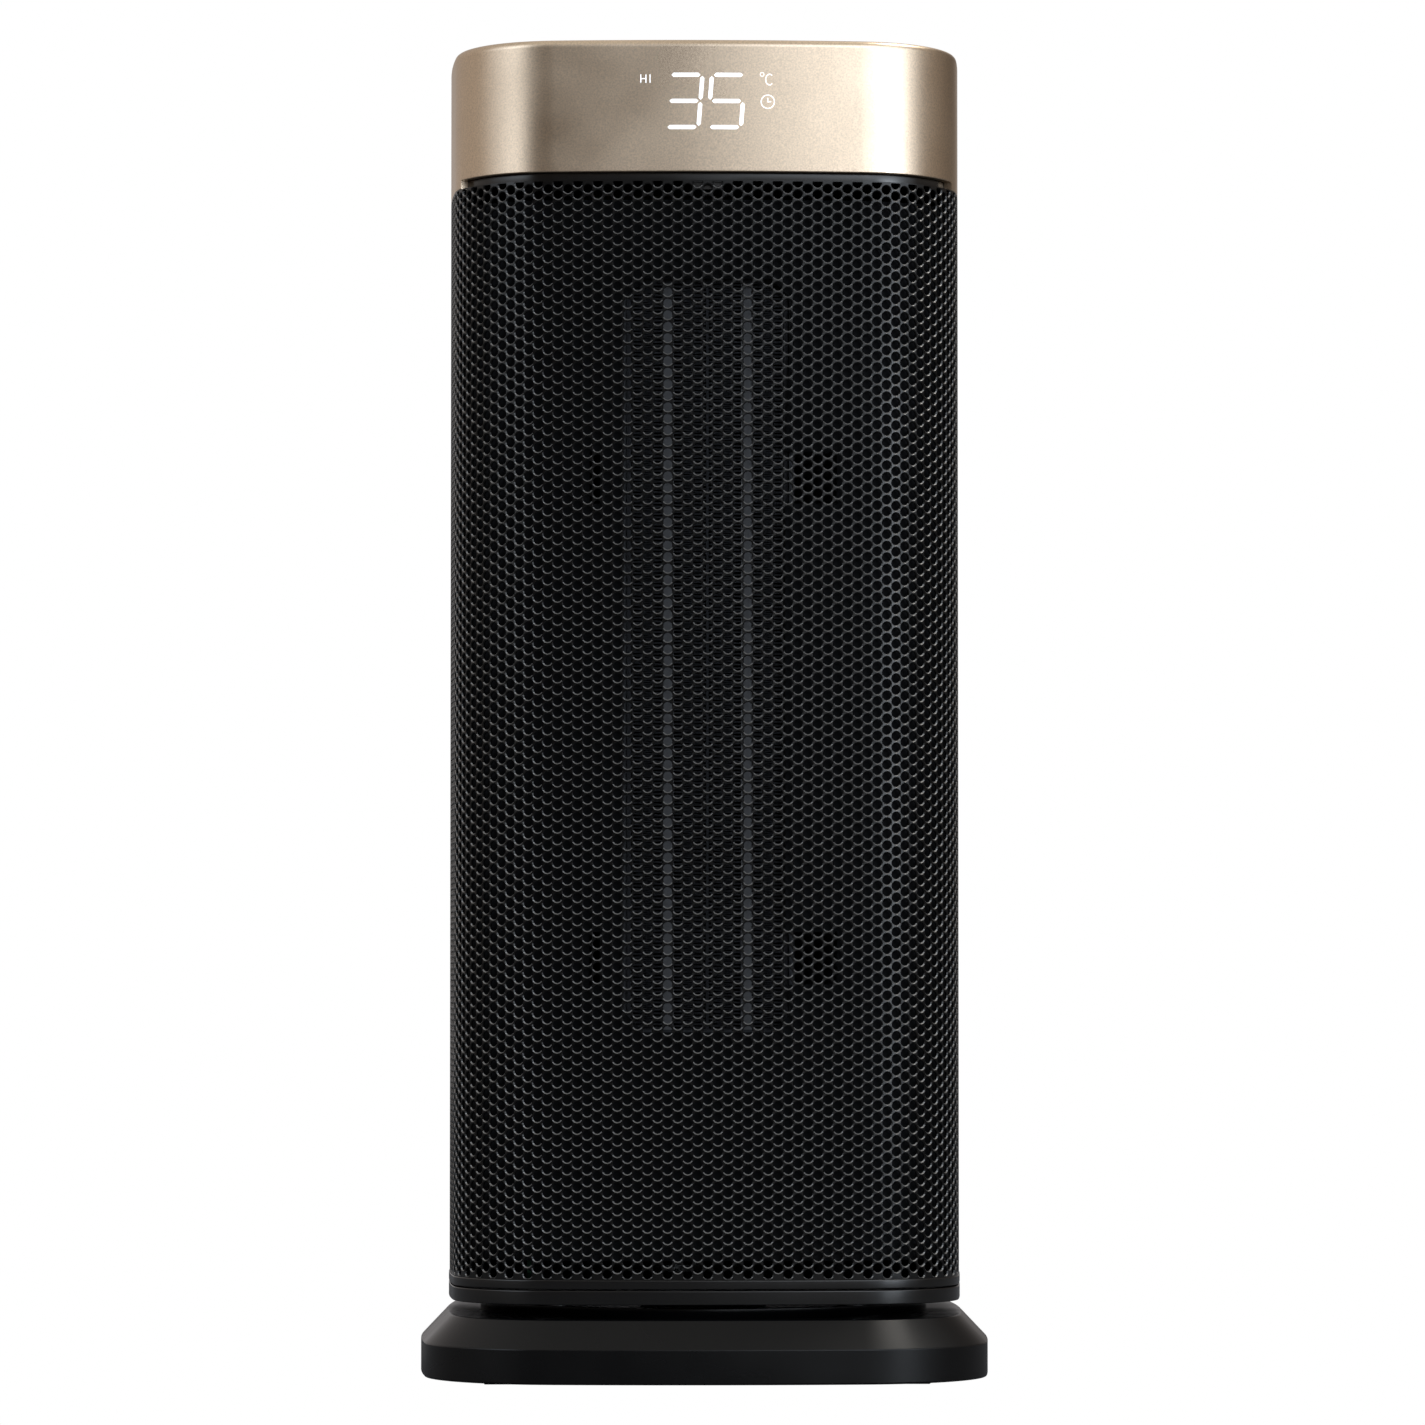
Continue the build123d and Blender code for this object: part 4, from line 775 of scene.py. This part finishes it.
def cut_recess(cover):
    """Cut the recess at the back that the cord inlet sits in."""
    cutter = bpy.data.objects.new("recess", box_mesh(
        (inlet_low.x, base_high.y - inlet_depth, inlet_low.z),
        (inlet_high.x, base_high.y + inlet_depth, inlet_high.z),
    ))
    scene.collection.objects.link(cutter)
    cut = cover.modifiers.new("recess", "BOOLEAN")
    cut.operation = "DIFFERENCE"
    cut.object = cutter
    baked = bpy.data.meshes.new_from_object(cover.evaluated_get(bpy.context.evaluated_depsgraph_get()))
    cover.modifiers.clear()
    cover.data = baked
    baked.set_sharp_from_angle(angle=math.radians(SHARP))
    bpy.data.objects.remove(cutter)
    cover.modifiers.new("flat_faces", "WEIGHTED_NORMAL").keep_sharp = True


def base_cover():
    """The base's cover: upright side, sloped shoulder, round neck and the bush's boss."""
    under = base_top - shell_wall
    inside = base_overhang - shell_wall
    brow = base_overhang - shoulder_inset
    boss_flat = bush_flat + boss_wall
    rings = profile_rings(base_marks, [
        (inside, base_low.z, 0),
        (base_overhang, base_low.z, foot_round),
        (base_overhang, base_top - shoulder_height, shoulder_round),
        (brow, base_top, brow_round),
        (brow - brow_flat, base_top, 0),
    ], steps=6)
    for radius, z in (
        (neck_radius, base_top), (neck_radius, base_high.z - neck_chamfer),
        (neck_radius - neck_chamfer, base_high.z), (neck_radius - neck_wall, base_high.z),
        (neck_radius - neck_wall, base_top),
    ):
        rings.append(round_ring(base_marks, radius, z))
    for flat, z in (
        (boss_flat, base_top), (boss_flat, base_high.z), (bush_flat, base_high.z), (bush_flat, under),
        (boss_flat, under),
    ):
        rings.append(hexagon_ring(base_marks, flat, z))
    rings.append(plan_ring(base_marks, inside - shoulder_inset, under))
    rings.append(plan_ring(base_marks, inside, under - shoulder_height))
    cut_recess(piece("base_cover", loft(rings), "base", "black_body", replaces=["base_shell"]))


base_cover()

# ------------------------------------------------------------------ heating element's fins
fin_width = 12.7 * MM
fin_foil = 0.28 * MM
fin_pitch = 1.4 * MM
fold_round = 0.16  # share of a fold taken by its round end
bar_width = 4.0 * MM
electrode = 1.0 * MM


def fin_strip(centre_x):
    """One strip of finely folded foil between two bars."""
    height = fins_high.z - fins_low.z
    folds = int(height / fin_pitch) * 2
    reach = fin_width / 2 - fin_foil / 2
    line = []
    for n in range(folds + 1):
        x = centre_x + (1 if n % 2 else -1) * reach
        for part in (-fold_round, fold_round):
            line.append((x, fins_low.z + height * min(max(n + part, 0), folds) / folds))
    # Lower front, upper front, upper back, lower back
    edges = ((fins_low.y, -1), (fins_low.y, 1), (fins_high.y, 1), (fins_high.y, -1))
    points = np.array([(x, y, z + side * fin_foil / 2) for y, side in edges for x, z in line])
    points[:, 2] = np.clip(points[:, 2], fins_low.z, fins_high.z)
    count = len(line)
    faces = []
    for k in range(4):
        a, b = k * count, (k + 1) % 4 * count
        for n in range(count - 1):
            faces.append((a + n, a + n + 1, b + n + 1, b + n))
    faces += [(0, count, 2 * count, 3 * count), (count - 1, 4 * count - 1, 3 * count - 1, 2 * count - 1)]
    return mesh_from(points, faces)


def heating_fins():
    """Four strips, two on each side of the middle electrode."""
    near = electrode / 2 + fin_width / 2
    far = near + fin_width + bar_width
    for number, x in enumerate((-far, -near, near, far)):
        piece(f"fin_strip_{number + 1}", fin_strip(x), "tower", "fin_aluminium",
              replaces=["heat_fins"] if number == 0 else (), sharp=30.0, weighted=False)


heating_fins()

# ------------------------------------------------------------------ eased copies of CAD nodes
EASED_NODES = {  # width of the eased edges
    "rear_shell": 0.6 * MM, "switch_housing": 0.5 * MM, "power_rocker": 0.4 * MM, "cord_inlet": 0.5 * MM,
    "rubber_feet": 0.6 * MM, "top_frame": 0.4 * MM, "top_panel": 0.3 * MM, "intake_louvres": 0.35 * MM,
    "rear_screws": 0.25 * MM, "base_screws": 0.25 * MM, "tip_plunger": 0.4 * MM, "base_plate": 0.4 * MM,
    "power_button": 0.25 * MM, "mode_button": 0.25 * MM, "timer_button": 0.25 * MM,
    "swing_button": 0.25 * MM, "temperature_button": 0.25 * MM,
}
ease_from = 30.0  # degrees between faces from which an edge is eased
flat_within = 0.5  # degrees between faces that count as one
weld_distance = 0.001 * MM


def eased(node, width):
    """A copy of a CAD node with its sharp edges eased."""
    source = frame["nodes"][node]
    edit = bmesh.new()
    edit.from_mesh(source.data)
    edit.transform(source.matrix_world)
    bmesh.ops.remove_doubles(edit, verts=edit.verts[:], dist=weld_distance)
    bmesh.ops.dissolve_limit(
        edit, angle_limit=math.radians(flat_within), verts=edit.verts[:], edges=edit.edges[:]
    )
    edges = [
        edge for edge in edit.edges
        if len(edge.link_faces) == 2 and edge.calc_face_angle(0.0) > math.radians(ease_from)
    ]
    bmesh.ops.bevel(
        edit, geom=edges, offset=width, segments=2, profile=0.5, affect="EDGES", clamp_overlap=True
    )
    return mesh_of(edit)


for node, width in EASED_NODES.items():
    piece(f"{node}_eased", eased(node, width), bodies[node], slots[node], replaces=[node], sharp=35.0)

# ------------------------------------------------------------------ signs on the buttons
sign_lift = 0.02 * MM
sign_sink = 0.15 * MM
sign_stroke = 0.42 * MM
sign_size = 2.4 * MM
sign_part = 0.55 * sign_size
stop_x, stop_low, stop_high = 1.28 * sign_size, 0.5 * sign_size, 1.2 * sign_size


def power_sign():
    """A ring open at the top, with a bar in it."""
    return [arc_shape(0, 0, sign_size, 120, 420, sign_stroke), bar_shape(0, 0, 0, sign_size, sign_stroke)]


def mode_sign():
    """Three sliders."""
    rails = [bar_shape(x, -sign_size, x, sign_size, sign_stroke) for x in (-sign_size, 0, sign_size)]
    knobs = [
        bar_shape(x - sign_part / 2, y, x + sign_part / 2, y, 2 * sign_stroke)
        for x, y in ((-sign_size, sign_part), (0, -sign_part), (sign_size, 0))
    ]
    return rails + knobs


def timer_sign():
    """A clock."""
    hands = [bar_shape(0, 0, 0, sign_part, sign_stroke), bar_shape(0, 0, sign_part, 0, sign_stroke)]
    return circle_shapes(0, 0, sign_size, sign_stroke) + hands


def swing_sign():
    """An arm under an arc, with a stop at each end."""
    arm = [
        arc_shape(0, -sign_size, 2 * sign_size, 50, 130, sign_stroke),
        bar_shape(0, -sign_size, 0, sign_part, sign_stroke),
    ]
    stops = [bar_shape(x, stop_low, x, stop_high, sign_stroke) for x in (-stop_x, stop_x)]
    return arm + stops


def temperature_sign():
    """A thermometer."""
    bulb = circle_shapes(0, -sign_size + sign_part / 2, sign_part, sign_stroke)
    tube = [
        bar_shape(x, -sign_size + sign_part, x, sign_size, sign_stroke)
        for x in (-sign_part / 2, sign_part / 2)
    ]
    return bulb + tube + [arc_shape(0, sign_size, sign_part / 2, 0, 180, sign_stroke)]


def button_sign(button, shapes):
    """A flat white sign on top of a button."""
    low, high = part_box(button)
    centre = (low + high) / 2

    def on_button(u, v, lift):
        return (centre.x + u, centre.y + v, high.z + lift)

    mesh = prisms(shapes, on_button, -sign_sink, sign_lift)
    piece(f"{button}_sign", mesh, f"{button}_body", "button_black", look="icon_white", weighted=False)


button_sign("power_button", power_sign())
button_sign("mode_button", mode_sign())
button_sign("timer_button", timer_sign())
button_sign("swing_button", swing_sign())
button_sign("temperature_button", temperature_sign())

# ------------------------------------------------------------------ wall behind the grille
vent_x, vent_width, vent_height = 42.0 * MM, 22.0 * MM, 20.5 * MM
slit_x, slit_width = -41.5 * MM, 4.0 * MM
vent_spacing = 187.5 * MM
vent_margin = 0.1 * MM
vent_shift = (-2.5 * MM, 0, -24.5 * MM)  # from their places in the solid to those in the photo


def outlet_wall():
    """A copy of the outlet panel whose vents and slits sit where the photo shows them."""
    mesh = frame["nodes"]["outlet_panel"].data.copy()
    points = np.array([v.co for v in mesh.vertices])
    rise = np.abs(np.abs(points[:, 2] - (fins_low.z + fins_high.z) / 2) - vent_spacing / 2)
    level = rise < vent_height / 2 + vent_margin
    for x, width in ((vent_x, vent_width), (slit_x, slit_width)):
        points[level & (np.abs(points[:, 0] - x) < width / 2 + vent_margin)] += vent_shift
    mesh.vertices.foreach_set("co", points.ravel())
    piece("outlet_wall", mesh, "tower", "inner_black", replaces=["outlet_panel"])


outlet_wall()

# ------------------------------------------------------------------ camera
camera_distance = 2.5
camera_height = 0.16
camera_side = -0.0436
camera_lens = 156.05
camera_shift = 0.03
tilt_up = math.radians(2.02)
aim_right = math.radians(0.084)  # of the tower's axis
camera_data = bpy.data.cameras.new("camera")
camera_data.sensor_width = 36.0
camera_data.lens = camera_lens
camera_data.shift_y = camera_shift
camera_data.clip_end = 50.0
camera = bpy.data.objects.new("camera", camera_data)
camera.location = (camera_side, -camera_distance, camera_height)
turn_right = math.atan2(-camera_side, camera_distance) + aim_right
camera.rotation_euler = (math.pi / 2 + tilt_up, 0.0, -turn_right)
scene.collection.objects.link(camera)
scene.camera = camera

# ------------------------------------------------------------------ studio
# Brightness round the object by bearing in degrees from the front, right positive
STUDIO_HIGH = [
    (-180, 0.45), (-156, 0.35), (-132, 0.36), (-96, 0.35), (-84, 0.8), (-72, 1.15), (-60, 1.8), (-48, 1.85),
    (-36, 0.1), (-2, 0.1), (12, 2.45), (24, 2.65), (36, 1.8), (60, 1.75), (72, 0.95), (84, 0.22), (96, 0.25),
    (132, 0.1), (150, 0.1), (165, 0.3), (180, 0.45),
]
STUDIO_LOW = [  # near the floor, where the base and the bands reflect it
    (-180, 0.45), (-156, 0.35), (-132, 0.3), (-48, 0.3), (-36, 0.08), (0, 0.05), (12, 0.5), (32, 1.2),
    (38, 4.5), (46, 6.0), (53, 4.6), (62, 1.3), (72, 0.6), (84, 0.14), (132, 0.1), (150, 0.1), (165, 0.3),
    (180, 0.45),
]
STUDIO_PEAK = 7.0
STUDIO_CEILING = 0.5
LOW_END, HIGH_START = 0.105, 0.13  # rise of the view from level, as a sine, where the walls change
WALL_END, CEILING_START = 0.6, 0.85
WARM = (1.18, 1.0, 0.85)
COOL = (0.93, 1.06, 1.27)
lamp_bearing = math.radians(115)
lamp_distance = 0.8
lamp_height = 2.0
lamp_size = (0.7, 0.5)
lamp_power = 9.0
floor_half = 6.0


def panel_colour(level):
    """The shade parts of the studio are warmer than its light panels."""
    share = min(1.0, level)
    return tuple(level / STUDIO_PEAK * (w + (c - w) * share) for w, c in zip(WARM, COOL))


def studio_wall(tree, bearing, panels):
    """The colours of a list of panels by bearing."""
    stops = [((degrees + 180) / 360, panel_colour(level)) for degrees, level in panels]
    return colour_ramp(tree, bearing, stops)


def blend(tree, share, low, high):
    """Change from one colour or grey to another as a share goes from 0 to 1."""
    mix = tree.nodes.new("ShaderNodeMixRGB")
    tree.links.new(share, mix.inputs["Fac"])
    for socket, colour in ((mix.inputs["Color1"], low), (mix.inputs["Color2"], high)):
        if isinstance(colour, float):
            socket.default_value = (colour, colour, colour, 1)
        else:
            tree.links.new(colour, socket)
    return mix.outputs["Color"]


def view_bearing(tree, axes):
    """Bearing of a view from the front, right positive, as a share of the round from the back."""
    forward = tree.nodes.new("ShaderNodeMath")
    forward.operation = "MULTIPLY"
    forward.inputs[1].default_value = -1.0
    tree.links.new(axes.outputs["Y"], forward.inputs[0])
    angle = tree.nodes.new("ShaderNodeMath")
    angle.operation = "ARCTAN2"
    tree.links.new(axes.outputs["X"], angle.inputs[0])
    tree.links.new(forward.outputs[0], angle.inputs[1])
    return map_range(tree, angle.outputs[0], -math.pi, math.pi)


def studio_world():
    """A white backdrop for the camera, and panels of light and shade round the object."""
    world = bpy.data.worlds.new("studio")
    world.use_nodes = True
    scene.world = world
    tree = world.node_tree
    place = tree.nodes.new("ShaderNodeTexCoord")
    axes = tree.nodes.new("ShaderNodeSeparateXYZ")
    tree.links.new(place.outputs["Generated"], axes.inputs["Vector"])
    bearing, rise = view_bearing(tree, axes), axes.outputs["Z"]
    low = studio_wall(tree, bearing, STUDIO_LOW)
    high = studio_wall(tree, bearing, STUDIO_HIGH)
    walls = blend(tree, map_range(tree, rise, LOW_END, HIGH_START), low, high)
    roofed = blend(tree, map_range(tree, rise, WALL_END, CEILING_START), walls, STUDIO_CEILING / STUDIO_PEAK)
    rays = tree.nodes.new("ShaderNodeLightPath")
    seen = blend(tree, rays.outputs["Is Camera Ray"], roofed, 1 / STUDIO_PEAK)
    background = tree.nodes["Background"]
    tree.links.new(seen, background.inputs["Color"])
    background.inputs["Strength"].default_value = STUDIO_PEAK


def overhead_lamp():
    """A soft lamp above and to the right, a little behind, that faces the tower's middle."""
    data = bpy.data.lights.new("overhead", "AREA")
    data.shape = "RECTANGLE"
    data.size, data.size_y = lamp_size
    data.energy = lamp_power
    lamp = bpy.data.objects.new("overhead", data)
    lamp.location = (
        lamp_distance * math.sin(lamp_bearing), -lamp_distance * math.cos(lamp_bearing), lamp_height
    )
    aim = Vector((0, 0, cad_high.z / 2)) - lamp.location
    lamp.rotation_euler = aim.to_track_quat("-Z", "Y").to_euler()
    lamp.visible_camera = False
    scene.collection.objects.link(lamp)


def studio_floor():
    """A grey floor for the object's reflections; the camera looks through it at the backdrop."""
    corners = [(-floor_half, -floor_half, 0), (floor_half, -floor_half, 0),
               (floor_half, floor_half, 0), (-floor_half, floor_half, 0)]
    mesh = mesh_from(corners, [(0, 1, 2, 3)])
    mesh.name = "floor"
    mesh.materials.append(finishes["floor_grey"])
    floor = bpy.data.objects.new("floor", mesh)
    floor.visible_camera = False
    scene.collection.objects.link(floor)


studio_world()
studio_floor()
overhead_lamp()
scene.view_settings.view_transform = "Standard"
